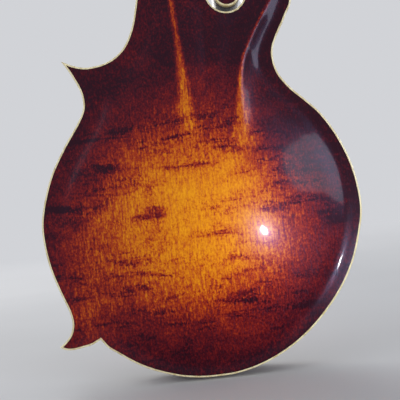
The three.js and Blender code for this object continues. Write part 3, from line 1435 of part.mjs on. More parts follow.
const guardShares = [
  [1.5, -1.01], [2.05, -1.09], [2.55, -1.2], [2.66, -1.33], [2.45, -1.47], [2, -1.6], [1.55, -1.68],
  [1.2, -1.665], [1.12, -1.6],
];
const guardStartShare = 1.01;
const guardEndMargin = 2;
const guardBack = guardDrop + guardThickness;
const bracketShare = 0.664;
const bracketRibShare = 0.678;
const bracketFoot = 12;
const bracketRise = 1;
const bracketBend = 8;
const bracketBendRise = 6;
const bracketReachShares = [0.488, 0.315];
function addPickguard() {
  const inner = (z) => boardHalfAt(z) + seatGap;
  const guardStart = -guardStartShare * jointDistance;
  const outline = [
    ...smoothStretch(guardShares, jointHalfWidth, jointDistance),
    [inner(extensionEnd), extensionEnd - guardEndMargin], [inner(guardStart), guardStart],
  ];
  piece(neck, 'pickguard', prismAlongY(outline.reverse(), guardDrop, guardBack), tortoise);

  const low = bracketShare * bodyLength;
  const alongNeck = low + bracketWidth - neckJointZ - jointDistance;
  const under = neck.localToWorld(new THREE.Vector3(0, guardBack + seatGap, alongNeck)).y + bracketSheet;
  const sideX = bracketRibShare * bodyHalfWidth + seatGap;
  const path = [
    [sideX, -halfRim + bracketFoot], [sideX, -plateEdge - bracketRise],
    [sideX - bracketBend, -plateEdge - bracketBendRise],
    ...bracketReachShares.map((share) => [share * bodyHalfWidth, under]),
  ];
  const strip = [...path, ...shifted(path, bracketSheet).reverse()];
  piece(body, 'pickguard_bracket', prismAlongZ(strip, low, low + bracketWidth), nickel);
}

addPlates();
addBlocks();
addLinings();
addToneBars();
addNeck();
addFingerboard();
addTuners();
addStrings();
addBridge();
addTailpiece();
addPickguard();

export default instrument;
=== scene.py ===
"""An F-style mandolin: a sunburst maple back with its carved scroll ridge, bound edges, a spruce top with two
f-holes, a lacquered neck and headstock, geared tuners, wound strings, a floating bridge and a tailpiece.

Shapes are worked out in millimetres in a few plain frames (body, neck, headstock, tailpiece) and put into the
meshes in metres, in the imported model's frame. +X is the treble side, +Y the back, +Z the way up the neck.
"""

import json
import logging
import math
from dataclasses import dataclass, field
from enum import Enum
from typing import Iterable, Sequence

import bmesh
import bpy
import numpy as np
from mathutils import Matrix, Vector, geometry

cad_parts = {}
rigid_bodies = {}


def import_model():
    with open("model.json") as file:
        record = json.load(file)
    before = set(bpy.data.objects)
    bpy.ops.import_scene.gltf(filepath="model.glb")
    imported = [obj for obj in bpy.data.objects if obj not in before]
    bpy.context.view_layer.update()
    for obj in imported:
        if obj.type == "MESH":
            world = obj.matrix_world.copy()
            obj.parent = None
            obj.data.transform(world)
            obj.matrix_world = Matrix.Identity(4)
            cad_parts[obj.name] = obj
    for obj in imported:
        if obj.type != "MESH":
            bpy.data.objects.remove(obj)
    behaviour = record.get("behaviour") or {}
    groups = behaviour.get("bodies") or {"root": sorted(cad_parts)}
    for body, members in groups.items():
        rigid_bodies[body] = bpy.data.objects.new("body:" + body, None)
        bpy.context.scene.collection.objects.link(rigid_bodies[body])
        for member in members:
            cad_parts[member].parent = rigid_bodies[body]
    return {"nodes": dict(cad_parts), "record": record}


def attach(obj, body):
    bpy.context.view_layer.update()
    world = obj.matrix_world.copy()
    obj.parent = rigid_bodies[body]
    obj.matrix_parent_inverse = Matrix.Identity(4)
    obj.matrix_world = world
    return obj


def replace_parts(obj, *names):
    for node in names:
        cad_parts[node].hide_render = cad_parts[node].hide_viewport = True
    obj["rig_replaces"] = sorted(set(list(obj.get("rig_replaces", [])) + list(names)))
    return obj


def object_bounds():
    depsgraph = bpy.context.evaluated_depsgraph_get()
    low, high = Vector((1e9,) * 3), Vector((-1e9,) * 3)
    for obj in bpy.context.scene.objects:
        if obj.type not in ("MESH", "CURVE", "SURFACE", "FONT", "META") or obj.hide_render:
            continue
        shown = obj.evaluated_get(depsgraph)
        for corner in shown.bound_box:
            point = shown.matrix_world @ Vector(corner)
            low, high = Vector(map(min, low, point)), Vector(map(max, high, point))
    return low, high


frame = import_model()
CAD_LOW, CAD_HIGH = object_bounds()

log = logging.getLogger("mandolin")
Array = np.ndarray
Number = float | np.ndarray
MM = 0.001
ROOT = "body_and_neck"
COURSES = ("g1", "g2", "d1", "d2", "a1", "a2", "e1", "e2")
FLANGE_FACE = 1.8
LINE_STEP = 1.5
MOST_PAIRS = 4_000_000
TINY = 1e-12


# Frames and curves


@dataclass(frozen=True)
class Place:
    """A plain frame in the instrument: an origin in millimetres and a turn about the X axis.

    A point goes to origin + turn @ point, where the turn tips +Z towards +Y for a positive lean.
    """

    origin: tuple[float, float, float] = (0.0, 0.0, 0.0)
    lean: float = 0.0

    def matrix(self) -> Array:
        """The 3 by 3 turn."""
        c, s = math.cos(self.lean), math.sin(self.lean)
        return np.array([[1.0, 0.0, 0.0], [0.0, c, s], [0.0, -s, c]])

    def out(self, points: Array | Sequence[float]) -> Array:
        """Points of this frame in the frame around it."""
        return np.asarray(points, float) @ self.matrix().T + np.array(self.origin)


def lerp(a: Number, b: Number, t: Number) -> Number:
    """Straight blend from a to b."""
    return a + (b - a) * t


def smoothstep(x: Array, low: float, high: float) -> Array:
    """0 below low, 1 above high, and 3t^2 - 2t^3 between."""
    t = np.clip((x - low) / (high - low), 0.0, 1.0)
    return t * t * (3.0 - 2.0 * t)


def full_turn(sides: int) -> Array:
    """Even angles round a circle, in radians."""
    return np.linspace(0.0, 2 * math.pi, sides, endpoint=False)


def flattened(wave: Array, power: float) -> Array:
    """A cosine or sine whose size is taken to a power and keeps its sign, which squares off a section."""
    return np.sign(wave) * np.abs(wave) ** power


def raised(plan: Array, y: Number) -> Array:
    """Plan points put into space at a Y, one number for all or one for each."""
    return np.stack([plan[:, 0], np.broadcast_to(y, (len(plan),)), plan[:, 1]], axis=1)


def spaced(line: Array, step: float) -> Array:
    """The same line with points an even step apart, ends kept.

    Args:
        line: points in order.
        step: distance between the new points.

    Returns:
        The new points.
    """
    reach = np.r_[0.0, np.cumsum(np.linalg.norm(np.diff(line, axis=0), axis=1))]
    count = max(2, int(round(reach[-1] / step)) + 1)
    at = np.linspace(0.0, reach[-1], count)
    return np.stack([np.interp(at, reach, line[:, k]) for k in range(line.shape[1])], axis=1)


def smooth_line(knots: Sequence, step: float) -> Array:
    """A centripetal Catmull-Rom curve through the knots, as even points.

    Each stretch is a cubic whose end slopes weigh the neighbouring chords by the square roots of their
    lengths, and the first and last chords are carried on straight beyond the ends.

    Args:
        knots: points in order, two or three numbers each.
        step: distance between the points that come back, in the knots' unit.

    Returns:
        The points, first and last knot included.
    """
    p = np.asarray(knots, float)
    p = np.concatenate([2 * p[:1] - p[1:2], p, 2 * p[-1:] - p[-2:-1]])
    gap = np.linalg.norm(np.diff(p, axis=0), axis=1)[:, None] ** 0.5
    a, b, c, d = p[:-3], p[1:-2], p[2:-1], p[3:]
    g0, g1, g2 = gap[:-2], gap[1:-1], gap[2:]
    start = ((b - a) / g0 - (c - a) / (g0 + g1) + (c - b) / g1) * g1
    end = ((c - b) / g1 - (d - b) / (g1 + g2) + (d - c) / g2) * g1
    t = np.linspace(0.0, 1.0, 24, endpoint=False)[None, :, None]
    b, c, start, end = (v[:, None, :] for v in (b, c, start, end))
    line = b + start * t + (3 * (c - b) - 2 * start - end) * t**2 + (2 * (b - c) + start + end) * t**3
    return spaced(np.concatenate([line.reshape(-1, p.shape[1]), p[-2:-1]]), step)


def shifted(line: Array, inset: float) -> Array:
    """A plan line moved to its left, mitred at each point.

    Args:
        line: plan points in order.
        inset: how far to move.

    Returns:
        As many points, moved.
    """
    step = np.diff(line, axis=0)
    normal = np.stack([-step[:, 1], step[:, 0]], axis=1)
    normal /= np.maximum(np.linalg.norm(normal, axis=1, keepdims=True), 1e-9)
    mean = 0.5 * (np.concatenate([normal[:1], normal]) + np.concatenate([normal, normal[-1:]]))
    return line + mean * inset / np.maximum((mean**2).sum(axis=1, keepdims=True), 0.2)


def meeting(first: Array, second: Array) -> tuple[Array, int, int]:
    """Where two plan lines that share a corner cross, or would if their ends went on.

    Args:
        first: the line that ends at the corner.
        second: the line that starts there.

    Returns:
        The meeting point, the last segment of first that is kept, and the first segment of second.
    """
    a, r = first[:-1], np.diff(first, axis=0)
    c, q = second[:-1], np.diff(second, axis=0)
    cross = r[:, None, 0] * q[None, :, 1] - r[:, None, 1] * q[None, :, 0]
    cross = np.where(np.abs(cross) < TINY, TINY, cross)
    w = c[None, :, :] - a[:, None, :]
    s = (w[..., 0] * q[None, :, 1] - w[..., 1] * q[None, :, 0]) / cross
    t = (w[..., 0] * r[:, None, 1] - w[..., 1] * r[:, None, 0]) / cross
    hits = np.argwhere((s >= 0) & (s <= 1) & (t >= 0) & (t <= 1))
    i, j = (len(a) - 1, 0) if not len(hits) else hits[np.lexsort((hits[:, 1], -hits[:, 0]))[0]]
    return a[i] + r[i] * s[i, j], int(i), int(j)


def inset_ring(stretches: Sequence[Array], inset: float) -> Array:
    """A ring of plan lines moved inwards, with as many points at any inset.

    Args:
        stretches: plan lines in order, each ending where the next starts, with the inside on their left.
        inset: how far to move, in millimetres.

    Returns:
        The closed outline without its repeated corners; points past a trimmed corner lie on it.
    """
    moved = [shifted(line, inset) if inset else line.copy() for line in stretches]
    for k, first in enumerate(moved):
        second = moved[(k + 1) % len(moved)]
        if inset:
            point, i, j = meeting(first, second)
            first[i + 1:] = point
            second[:j + 1] = point
    return np.concatenate([line[:-1] for line in moved])


def batches(points: Array, edges: Array) -> list[Array]:
    """The points in parts that are small enough to be set against all of the edges at once."""
    return np.array_split(points, max(1, len(points) * len(edges) // MOST_PAIRS))


def distance_to(points: Array, ring: Array, closed: bool = True) -> tuple[Array, Array]:
    """Least distance from each plan point to a line, and how far along it that is as a share.

    Args:
        points: n plan points.
        ring: the line's points.
        closed: whether the last point joins the first.

    Returns:
        The distances and the shares, n of each.
    """
    a = ring if closed else ring[:-1]
    b = np.roll(ring, -1, axis=0) if closed else ring[1:]
    d = b - a
    square = np.maximum((d**2).sum(axis=1), TINY)
    reach = np.r_[0.0, np.cumsum(np.sqrt(square))]
    gaps, shares = [], []
    for part in batches(points, a):
        w = part[:, None, :] - a[None]
        t = np.clip((w * d[None]).sum(axis=2) / square[None], 0.0, 1.0)
        off = np.linalg.norm(w - t[..., None] * d[None], axis=2)
        best = off.argmin(axis=1)
        rows = np.arange(len(part))
        gaps.append(off[rows, best])
        shares.append((reach[best] + t[rows, best] * np.sqrt(square[best])) / reach[-1])
    return np.concatenate(gaps), np.concatenate(shares)


def within(points: Array, ring: Array) -> Array:
    """Which plan points lie inside a closed ring, by counting the edges that a ray along +X crosses.

    Args:
        points: plan points.
        ring: the ring's points.

    Returns:
        True for each point inside.
    """
    a, b = ring, np.roll(ring, -1, axis=0)
    rise = np.where(np.abs(b[:, 1] - a[:, 1]) < TINY, TINY, b[:, 1] - a[:, 1])
    inside = []
    for part in batches(points, a):
        x, z = part[:, :1], part[:, 1:]
        spans = (a[None, :, 1] > z) != (b[None, :, 1] > z)
        at = a[None, :, 0] + (z - a[None, :, 1]) * ((b[:, 0] - a[:, 0]) / rise)[None]
        inside.append((spans & (x < at)).sum(axis=1) % 2 == 1)
    return np.concatenate(inside)


def sized(shares: Sequence, wide: float, long: float) -> list[tuple[float, float]]:
    """Shares of a half width and a length, as millimetres."""
    return [(x * wide, z * long) for x, z in shares]


def tube_rings(path: Array, radius: float, sides: int, upright: Sequence[float]) -> Array:
    """Rings of a tube: a circle carried along a path, square to it.

    Args:
        path: points in order.
        radius: the circle's radius.
        sides: the circle's corners.
        upright: a direction that the first spoke is square to.

    Returns:
        An array of path points by corners by three.
    """
    ahead = np.gradient(path, axis=0)
    ahead /= np.linalg.norm(ahead, axis=1, keepdims=True)
    side = np.cross(ahead, upright)
    side /= np.linalg.norm(side, axis=1, keepdims=True)
    over = np.cross(side, ahead)
    turn = full_turn(sides)[None, :, None]
    return path[:, None] + radius * (side[:, None] * np.cos(turn) + over[:, None] * np.sin(turn))


BODY = Place((0.0, 0.0, FLANGE_FACE))

# Meshes


@dataclass
class Shell:
    """Points and faces of a surface that is still being put together, in millimetres of one frame."""

    points: Array = field(default_factory=lambda: np.zeros((0, 3)))
    faces: list = field(default_factory=list)

    def add(self, points: Array, faces: Sequence) -> "Shell":
        """Appends another surface's points and faces."""
        start = len(self.points)
        self.points = np.concatenate([self.points, np.asarray(points, float).reshape(-1, 3)])
        self.faces += [[start + i for i in face] for face in faces]
        return self

    def join(self, other: "Shell") -> "Shell":
        """Appends another shell."""
        return self.add(other.points, other.faces)

    def placed(self, *places: Place) -> "Shell":
        """This shell in the frame outside the last place, going outwards one by one."""
        points = self.points
        for place in places:
            points = place.out(points)
        return Shell(points, self.faces)

    def moved(self, x: float = 0.0, y: float = 0.0, z: float = 0.0) -> "Shell":
        """This shell shifted."""
        return Shell(self.points + np.array([x, y, z]), self.faces)

    def swapped(self, order: str) -> "Shell":
        """This shell with its axes renamed: order names the old axis for x, y and z, with - to turn it."""
        signs = [-1.0 if part.startswith("-") else 1.0 for part in order.split()]
        picks = ["xyz".index(part[-1]) for part in order.split()]
        return Shell(self.points[:, picks] * np.array(signs), self.faces)


def joined(shells: Iterable[Shell]) -> Shell:
    """Several shells as one."""
    whole = Shell()
    for shell in shells:
        whole.join(shell)
    return whole


def sheet_faces(rows: int, columns: int, round_rows: bool = False, round_columns: bool = False) -> list:
    """Four-sided faces of a grid of points, joined up at its ends where asked.

    Args:
        rows: rows of points.
        columns: points in a row.
        round_rows: whether the last row joins the first.
        round_columns: whether each row closes on itself.

    Returns:
        The faces, each a list of four point numbers.
    """
    r = np.arange(rows if round_rows else rows - 1)[:, None]
    c = np.arange(columns if round_columns else columns - 1)[None, :]
    down, right = (r + 1) % rows, (c + 1) % columns
    corners = [r * columns + c, r * columns + right, down * columns + right, down * columns + c]
    return np.stack([np.broadcast_to(v, (r.size, c.size)) for v in corners], axis=2).reshape(-1, 4).tolist()


def lofted(rings: Array, capped: bool = True, closed: bool = False) -> Shell:
    """A skin over rings of equal length: grid faces round and along, and a flat cap at each open end.

    Args:
        rings: rows of points, each row one closed ring.
        capped: whether the first and last rings get a cap.
        closed: whether the last ring joins the first.

    Returns:
        The shell.
    """
    rows, columns = rings.shape[:2]
    faces = sheet_faces(rows, columns, round_rows=closed, round_columns=True)
    if capped and not closed:
        faces.append(list(range(columns))[::-1])
        faces.append([(rows - 1) * columns + c for c in range(columns)])
    return Shell(rings.reshape(-1, 3), faces)


def turned(radii: Sequence[float], rise: Sequence[float], sides: int, order: str = "x z y",
           closed: bool = False) -> Shell:
    """A turned shape: the radius at each place along an axis, carried round it.

    Args:
        radii: the radii.
        rise: where each one is along the axis.
        sides: corners of the circle.
        order: "x z y" for an axis along Y, "z x y" for one along X.
        closed: whether the last ring joins the first, round a bore.

    Returns:
        The shell.
    """
    around, along = np.asarray(radii, float)[:, None], np.asarray(rise, float)[:, None]
    turn = full_turn(sides)
    rings = np.stack(np.broadcast_arrays(around * np.cos(turn), around * np.sin(turn), along), axis=2)
    return lofted(rings, closed=closed).swapped(order)


def filled(ring: Array, holes: Sequence[Array] = (), step: float = 0.0) -> tuple[Array, Array]:
    """A plan outline filled with triangles, by a constrained Delaunay triangulation.

    Args:
        ring: the outline's points.
        holes: outlines of holes in it.
        step: distance between extra points inside, or 0 for none.

    Returns:
        The plan points and the triangles, which run anticlockwise with X to the right and Z up.
    """
    loops = [np.asarray(ring, float)] + [np.asarray(h, float) for h in holes]
    loops = [loop[np.linalg.norm(loop - np.roll(loop, 1, axis=0), axis=1) > 1e-4] for loop in loops]
    extra = np.zeros((0, 2))
    if step:
        row, clear = 0.866 * step, 0.45 * step
        low, high = loops[0].min(axis=0), loops[0].max(axis=0)
        x, z = np.meshgrid(np.arange(low[0], high[0], step), np.arange(low[1], high[1], row))
        x = x + (np.arange(len(x)) % 2)[:, None] * step / 2
        extra = np.stack([x.ravel(), z.ravel()], axis=1)
        for k, loop in enumerate(loops):
            extra = extra[within(extra, loop) == (k == 0)]
            extra = extra[distance_to(extra, loop)[0] > clear]
    starts = np.cumsum([0] + [len(loop) for loop in loops])
    edges = [(int(s + k), int(s + (k + 1) % len(loop)))
             for s, loop in zip(starts, loops) for k in range(len(loop))]
    points = np.concatenate(loops + [extra])
    made = geometry.delaunay_2d_cdt([Vector(p) for p in points.tolist()], edges, [], 2, 1e-6)
    plan = np.array([tuple(v) for v in made[0]])
    tris = np.array([tuple(f) for f in made[2]])
    for loop in loops[1:]:
        tris = tris[~within(plan[tris].mean(axis=1), loop)]
    a, b, c = (plan[tris[:, k]] for k in range(3))
    area = (b[:, 0] - a[:, 0]) * (c[:, 1] - a[:, 1]) - (b[:, 1] - a[:, 1]) * (c[:, 0] - a[:, 0])
    tris[area < 0] = tris[area < 0][:, ::-1]
    return plan, tris


def slab(plan: Array, tris: Array, front: Number, back: Number) -> Shell:
    """A closed slab over a filled plan outline: a skin at Y front, one at Y back, and walls along its edges.

    Args:
        plan: plan points in X and Z.
        tris: triangles over them, anticlockwise with X to the right and Z up.
        front: Y of the skin on the -Y side, one number or one for each point.
        back: Y of the skin on the +Y side.

    Returns:
        The shell, with the front skin's points first.
    """
    count = len(plan)
    skins = [raised(plan, y) for y in (front, back)]
    edges = np.concatenate([tris[:, [0, 1]], tris[:, [1, 2]], tris[:, [2, 0]]])
    keys = edges[:, 0] * count + edges[:, 1]
    rim = edges[~np.isin(keys, edges[:, 1] * count + edges[:, 0])]
    walls = np.stack([rim[:, 1], rim[:, 0], rim[:, 0] + count, rim[:, 1] + count], axis=1)
    faces = tris.tolist() + (tris[:, ::-1] + count).tolist() + walls.tolist()
    return Shell(np.concatenate(skins), faces)


def prism(ring: Array, front: float, back: float, holes: Sequence[Array] = ()) -> Shell:
    """A flat plate: a filled plan outline between two Y planes."""
    plan, tris = filled(ring, holes)
    return slab(plan, tris, front, back)


def carried(stretches: Sequence[Array], profile: Sequence[tuple[float, float]]) -> Array:
    """A section carried round a plan outline, as one ring of points for each of the section's own points.

    Args:
        stretches: the outline, as for inset_ring.
        profile: the section's points, each an inset from the outline and a Y.

    Returns:
        An array of section points by outline points by three.
    """
    return np.stack([raised(inset_ring(stretches, inset), y) for inset, y in profile])


def ring_band(stretches: Sequence[Array], profile: Sequence[tuple[float, float]]) -> Shell:
    """A strip along a plan outline, with a closed section as for carried."""
    return lofted(carried(stretches, profile), closed=True)


def box_shell(low: Sequence[float], high: Sequence[float]) -> Shell:
    """A plain block between two corners.

    Args:
        low: its lowest corner.
        high: its highest corner.

    Returns:
        The shell.
    """
    (x0, y0, z0), (x1, y1, z1) = low, high
    rings = np.array([[[x0, y0, z], [x1, y0, z], [x1, y1, z], [x0, y1, z]] for z in (z0, z1)])
    return lofted(rings)


# Shader recipes


class Wire:
    """A socket's value that takes part in arithmetic. Each operation adds one Math node."""

    def __init__(self, mixture: "Mixture", socket: bpy.types.NodeSocket) -> None:
        """Keeps the socket and the mixture that it belongs to."""
        self.mixture, self.socket = mixture, socket

    def math(self, operation: str, other: "Wire | float", swap: bool = False) -> "Wire":
        """This value and another through one Math node; swap puts the other first."""
        first, second = (other, self) if swap else (self, other)
        return self.mixture.node("ShaderNodeMath", {"operation": operation}, {0: first, 1: second})

    def __add__(self, other: "Wire | float") -> "Wire":
        """This value plus another."""
        return self.math("ADD", other)

    def __sub__(self, other: "Wire | float") -> "Wire":
        """This value less another."""
        return self.math("SUBTRACT", other)

    def __rsub__(self, other: "Wire | float") -> "Wire":
        """This value taken from another."""
        return self.math("SUBTRACT", other, swap=True)

    def __mul__(self, other: "Wire | float") -> "Wire":
        """This value times another."""
        return self.math("MULTIPLY", other)

    def __pow__(self, other: "Wire | float") -> "Wire":
        """This value to a power."""
        return self.math("POWER", other)

    def __rpow__(self, other: "Wire | float") -> "Wire":
        """Another value to the power of this one."""
        return self.math("POWER", other, swap=True)

    __radd__ = __add__
    __rmul__ = __mul__

    def clamped(self) -> "Wire":
        """This value held between 0 and 1."""
        return self.math("MAXIMUM", 0.0).math("MINIMUM", 1.0)


class Mixture:
    """A node tree that is being put together, and the ways to add to it."""

    def __init__(self, tree: bpy.types.NodeTree) -> None:
        """Keeps the tree."""
        self.tree = tree

    def node(self, kind: str, settings: dict, sockets: dict, out: int | str = 0) -> Wire:
        """Adds one node.

        Args:
            kind: the node's type.
            settings: its properties; "stops" is a colour ramp's list of (position, colour).
            sockets: value or Wire for each input, by its name or number.
            out: the output to hand back.

        Returns:
            The chosen output.
        """
        made = self.tree.nodes.new(kind)
        for key, value in settings.items():
            if key == "stops":
                ramp = made.color_ramp
                while len(ramp.elements) < len(value):
                    ramp.elements.new(1.0)
                for stop, (position, colour) in zip(ramp.elements, value):
                    stop.position, stop.color = position, (*colour, 1.0)
            else:
                setattr(made, key, value)
        for key, value in sockets.items():
            self.feed(made.inputs[key], value)
        return Wire(self, made.outputs[out])

    def feed(self, socket: bpy.types.NodeSocket, value: "Wire | float | tuple") -> None:
        """Sets a socket to a constant or links a Wire to it."""
        if isinstance(value, Wire):
            self.tree.links.new(value.socket, socket)
        elif isinstance(value, tuple) and len(value) == 3 and socket.type == "RGBA":
            socket.default_value = (*value, 1.0)
        else:
            socket.default_value = value

    def seen_rays(self) -> Wire:
        """1 for the rays of the camera, of gloss and of glass, and 0 for the rays that light a surface."""
        seen = self.node("ShaderNodeLightPath", {}, {}, "Is Camera Ray")
        path = seen.socket.node
        for name in ("Is Glossy Ray", "Is Transmission Ray"):
            seen = seen.math("MAXIMUM", Wire(self, path.outputs[name]))
        return seen


class Recipe(Mixture):
    """A material that is being mixed: its main shader, and the patterns and colours that feed it."""

    def __init__(self, name: str) -> None:
        """Starts an empty material with one Principled shader."""
        self.material = bpy.data.materials.new(name)
        self.material.use_nodes = True
        super().__init__(self.material.node_tree)
        self.shader = self.tree.nodes["Principled BSDF"]
        self.places: Wire | None = None

    def surface(self, **sockets: "Wire | float | tuple") -> bpy.types.Material:
        """Feeds the main shader's sockets, named with _ for a space, and hands back the material."""
        for key, value in sockets.items():
            self.feed(self.shader.inputs[key.replace("_", " ")], value)
        return self.material

    def where(self, scale: tuple = (1.0, 1.0, 1.0), turn: tuple = (0.0, 0.0, 0.0)) -> Wire:
        """Object coordinates through a Mapping node."""
        if self.places is None:
            self.places = self.node("ShaderNodeTexCoord", {}, {}, "Object")
        return self.node("ShaderNodeMapping", {}, {"Vector": self.places, "Rotation": turn, "Scale": scale})

    def noise(self, scale: tuple, detail: float, rough: float = 0.55, bend: float = 0.0,
              turn: tuple = (0.0, 0.0, 0.0)) -> Wire:
        """Fractal noise from about 0.3 to 0.7.

        Args:
            scale: cells to the metre along X, Y and Z.
            detail: how many finer layers are added.
            rough: how strong the finer layers are.
            bend: how far the cells are pushed about.
            turn: how the cells are turned, in radians.

        Returns:
            The noise.
        """
        return self.node("ShaderNodeTexNoise", {}, {
            "Vector": self.where(scale, turn), "Scale": 1.0, "Detail": detail, "Roughness": rough,
            "Distortion": bend})

    def span(self, value: Wire, low: float, high: float, first: float = 0.0, last: float = 1.0) -> Wire:
        """A value's stretch from low to high, as a smooth run from first to last."""
        return self.node("ShaderNodeMapRange", {"interpolation_type": "SMOOTHSTEP"}, {
            "Value": value, "From Min": low, "From Max": high, "To Min": first, "To Max": last})

    def ramp(self, value: Wire, stops: Sequence) -> Wire:
        """A colour ramp."""
        return self.node("ShaderNodeValToRGB", {"stops": stops}, {"Fac": value}, "Color")

    def glow(self, factor: Wire, first: Wire, second: tuple) -> Wire:
        """A colour with another laid over it as a soft light."""
        return self.node("ShaderNodeMix", {"data_type": "RGBA", "blend_type": "SOFT_LIGHT"}, {
            0: factor, 6: first, 7: second}, 2)

    def attribute(self, name: str) -> Wire:
        """A number stored on the piece's points."""
        return self.node("ShaderNodeAttribute", {"attribute_name": name}, {}, "Fac")

    def bumped(self, height: Wire, depth: float, strength: float) -> Wire:
        """A Bump node's normal, for a height of depth metres."""
        sockets = {"Height": height, "Distance": depth, "Strength": strength}
        return self.node("ShaderNodeBump", {}, sockets, "Normal")


def rgb(red: int, green: int, blue: int) -> tuple[float, float, float]:
    """A colour as the eye reads it, 0 to 255, as the light values that a shader takes."""
    parts = (v / 255.0 for v in (red, green, blue))
    return tuple(v / 12.92 if v <= 0.04045 else ((v + 0.055) / 1.055) ** 2.4 for v in parts)


class Figure(Enum):
    """How the wood of a piece is cut, seen on its face."""

    CURLY = "curly maple"
    STRAIGHT = "straight spruce"
    PLAIN = "plain maple"


@dataclass(frozen=True)
class Varnish:
    """Gloss varnish over wood, shaded from a warm middle to dark edges.

    The number "burst" on the piece's points runs from 0 in the middle to 1 at the dark edge, unless the
    piece is all of one shade. Clouds, strokes of the grain and the curl move it up and down, so that all of
    them keep to the varnish's own run of colours. The number "curl" says how strong the curl is.
    """

    name: str
    figure: Figure
    stops: tuple
    gloss: float = 0.24
    curl: float = 0.36
    strokes: float = 0.8
    one_shade: float | None = None

    def material(self) -> bpy.types.Material:
        """Mixes the material."""
        r = Recipe(self.name)
        clouds = r.noise((11.0, 11.0, 17.0), 4.0, 0.6, 0.5)
        shade = (clouds - 0.5) * 0.4 + (r.attribute("burst") if self.one_shade is None else self.one_shade)
        fine = r.noise((720.0, 720.0, 95.0), 3.0, 0.7)
        if self.figure is Figure.STRAIGHT:
            lines = r.node("ShaderNodeTexWave", {"bands_direction": "X", "wave_profile": "SAW"}, {
                "Vector": r.where((1.0, 0.02, 0.02)), "Scale": 250.0, "Distortion": 2.4, "Detail": 2.0,
                "Detail Scale": 0.12})
            shade = shade + lines ** 3.0 * 0.13 + (fine - 0.5) * 0.3
            colour = r.ramp(shade.clamped(), self.stops)
            silk = r.noise((40.0, 40.0, 260.0), 2.0)
            colour = r.glow(r.span(silk, 0.5, 0.8, 0.0, 0.2), colour, rgb(255, 205, 120))
        else:
            even = 1.0 if self.one_shade is not None else r.span(r.attribute("burst"), 0.6, 0.85, 1.0, 0.4)
            shade = shade + (fine - 0.5) * even * self.strokes
            if self.figure is Figure.CURLY:
                shade = shade + self._curl(r)
            colour = r.ramp(shade.clamped(), self.stops)
        ripple = r.noise((55.0, 55.0, 30.0), 2.0)
        return r.surface(
            Base_Color=colour, Roughness=self.gloss + r.span(fine, 0.35, 0.7, 0.0, 0.05),
            Specular_IOR_Level=0.15, Specular_Tint=(0.5, 0.55, 1.0), Coat_Weight=0.14, Coat_Roughness=0.06,
            Normal=r.bumped(ripple + fine * 0.05, 0.0004, 0.3))

    def _curl(self, r: Recipe) -> Wire:
        """How much the curl darkens: speckled and tilted wisps across the grain, and pale patches."""
        tilt = (0.0, math.radians(-13.0), 0.0)
        wisps = r.noise((27.0, 27.0, 145.0), 3.0, 0.6, 0.6, tilt)
        patches = r.noise((17.0, 17.0, 34.0), 2.0, 0.6, 0.8, tilt)
        specks = r.noise((620.0, 620.0, 480.0), 2.0, 0.7)
        dark = r.span(wisps + (specks - 0.5) * 0.3, 0.47, 0.74) * r.span(patches, 0.36, 0.6)
        if self.one_shade is None:
            dark = dark * r.attribute("curl")
        return dark * self.curl + (specks - 0.5) * 0.7 + r.span(patches, 0.3, 0.5, -0.05, 0.02)


@dataclass(frozen=True)
class Plastic:
    """A polished plastic, bone or shell piece with soft bands or clouds in it."""

    name: str
    base: tuple
    second: tuple
    stretch: tuple
    rough: float = 0.22
    low: float = 0.4
    high: float = 0.65
    bend: float = 0.0
    through: float = 0.0

    def material(self) -> bpy.types.Material:
        """Mixes the material."""
        r = Recipe(self.name)
        clouds = r.noise(self.stretch, 4.0, 0.6, self.bend)
        colour = r.ramp(r.span(clouds, self.low, self.high), ((0.0, self.base), (1.0, self.second)))
        wear = r.noise((260.0, 260.0, 260.0), 3.0)
        return r.surface(
            Base_Color=colour, Roughness=self.rough + r.span(wear, 0.4, 0.7, 0.0, 0.1),
            Subsurface_Weight=self.through, Subsurface_Radius=(0.002, 0.0015, 0.001),
            Normal=r.bumped(wear, 0.0002, 0.2))


@dataclass(frozen=True)
class Metal:
    """A plated or drawn metal with faint rubbing marks and a little dulling."""

    name: str
    base: tuple
    dull: tuple
    rough: float = 0.16
    marks: tuple = (90.0, 90.0, 90.0)
    depth: float = 0.00015

    def material(self) -> bpy.types.Material:
        """Mixes the material."""
        r = Recipe(self.name)
        stain = r.noise(self.marks, 4.0, 0.6)
        colour = r.ramp(r.span(stain, 0.38, 0.66), ((0.0, self.base), (1.0, self.dull)))
        rub = r.noise((1200.0, 1200.0, 240.0), 2.0)
        return r.surface(
            Base_Color=colour, Metallic=1.0, Roughness=self.rough + r.span(stain, 0.4, 0.7, 0.0, 0.14),
            Normal=r.bumped(rub + stain * 0.5, self.depth, 0.25))


@dataclass(frozen=True)
class Timber:
    """Oiled or bare wood without varnish: long grain with pores."""

    name: str
    base: tuple
    dark: tuple
    grain: tuple
    rough: float = 0.5

    def material(self) -> bpy.types.Material:
        """Mixes the material."""
        r = Recipe(self.name)
        lines = r.noise(self.grain, 4.0, 0.6, 0.3)
        colour = r.ramp(r.span(lines, 0.36, 0.66), ((0.0, self.base), (1.0, self.dark)))
        pores = r.noise(tuple(3.0 * v for v in self.grain), 2.0)
        return r.surface(
            Base_Color=colour, Roughness=self.rough + r.span(pores, 0.4, 0.7, -0.05, 0.12),
            Normal=r.bumped(pores, 0.0003, 0.5))


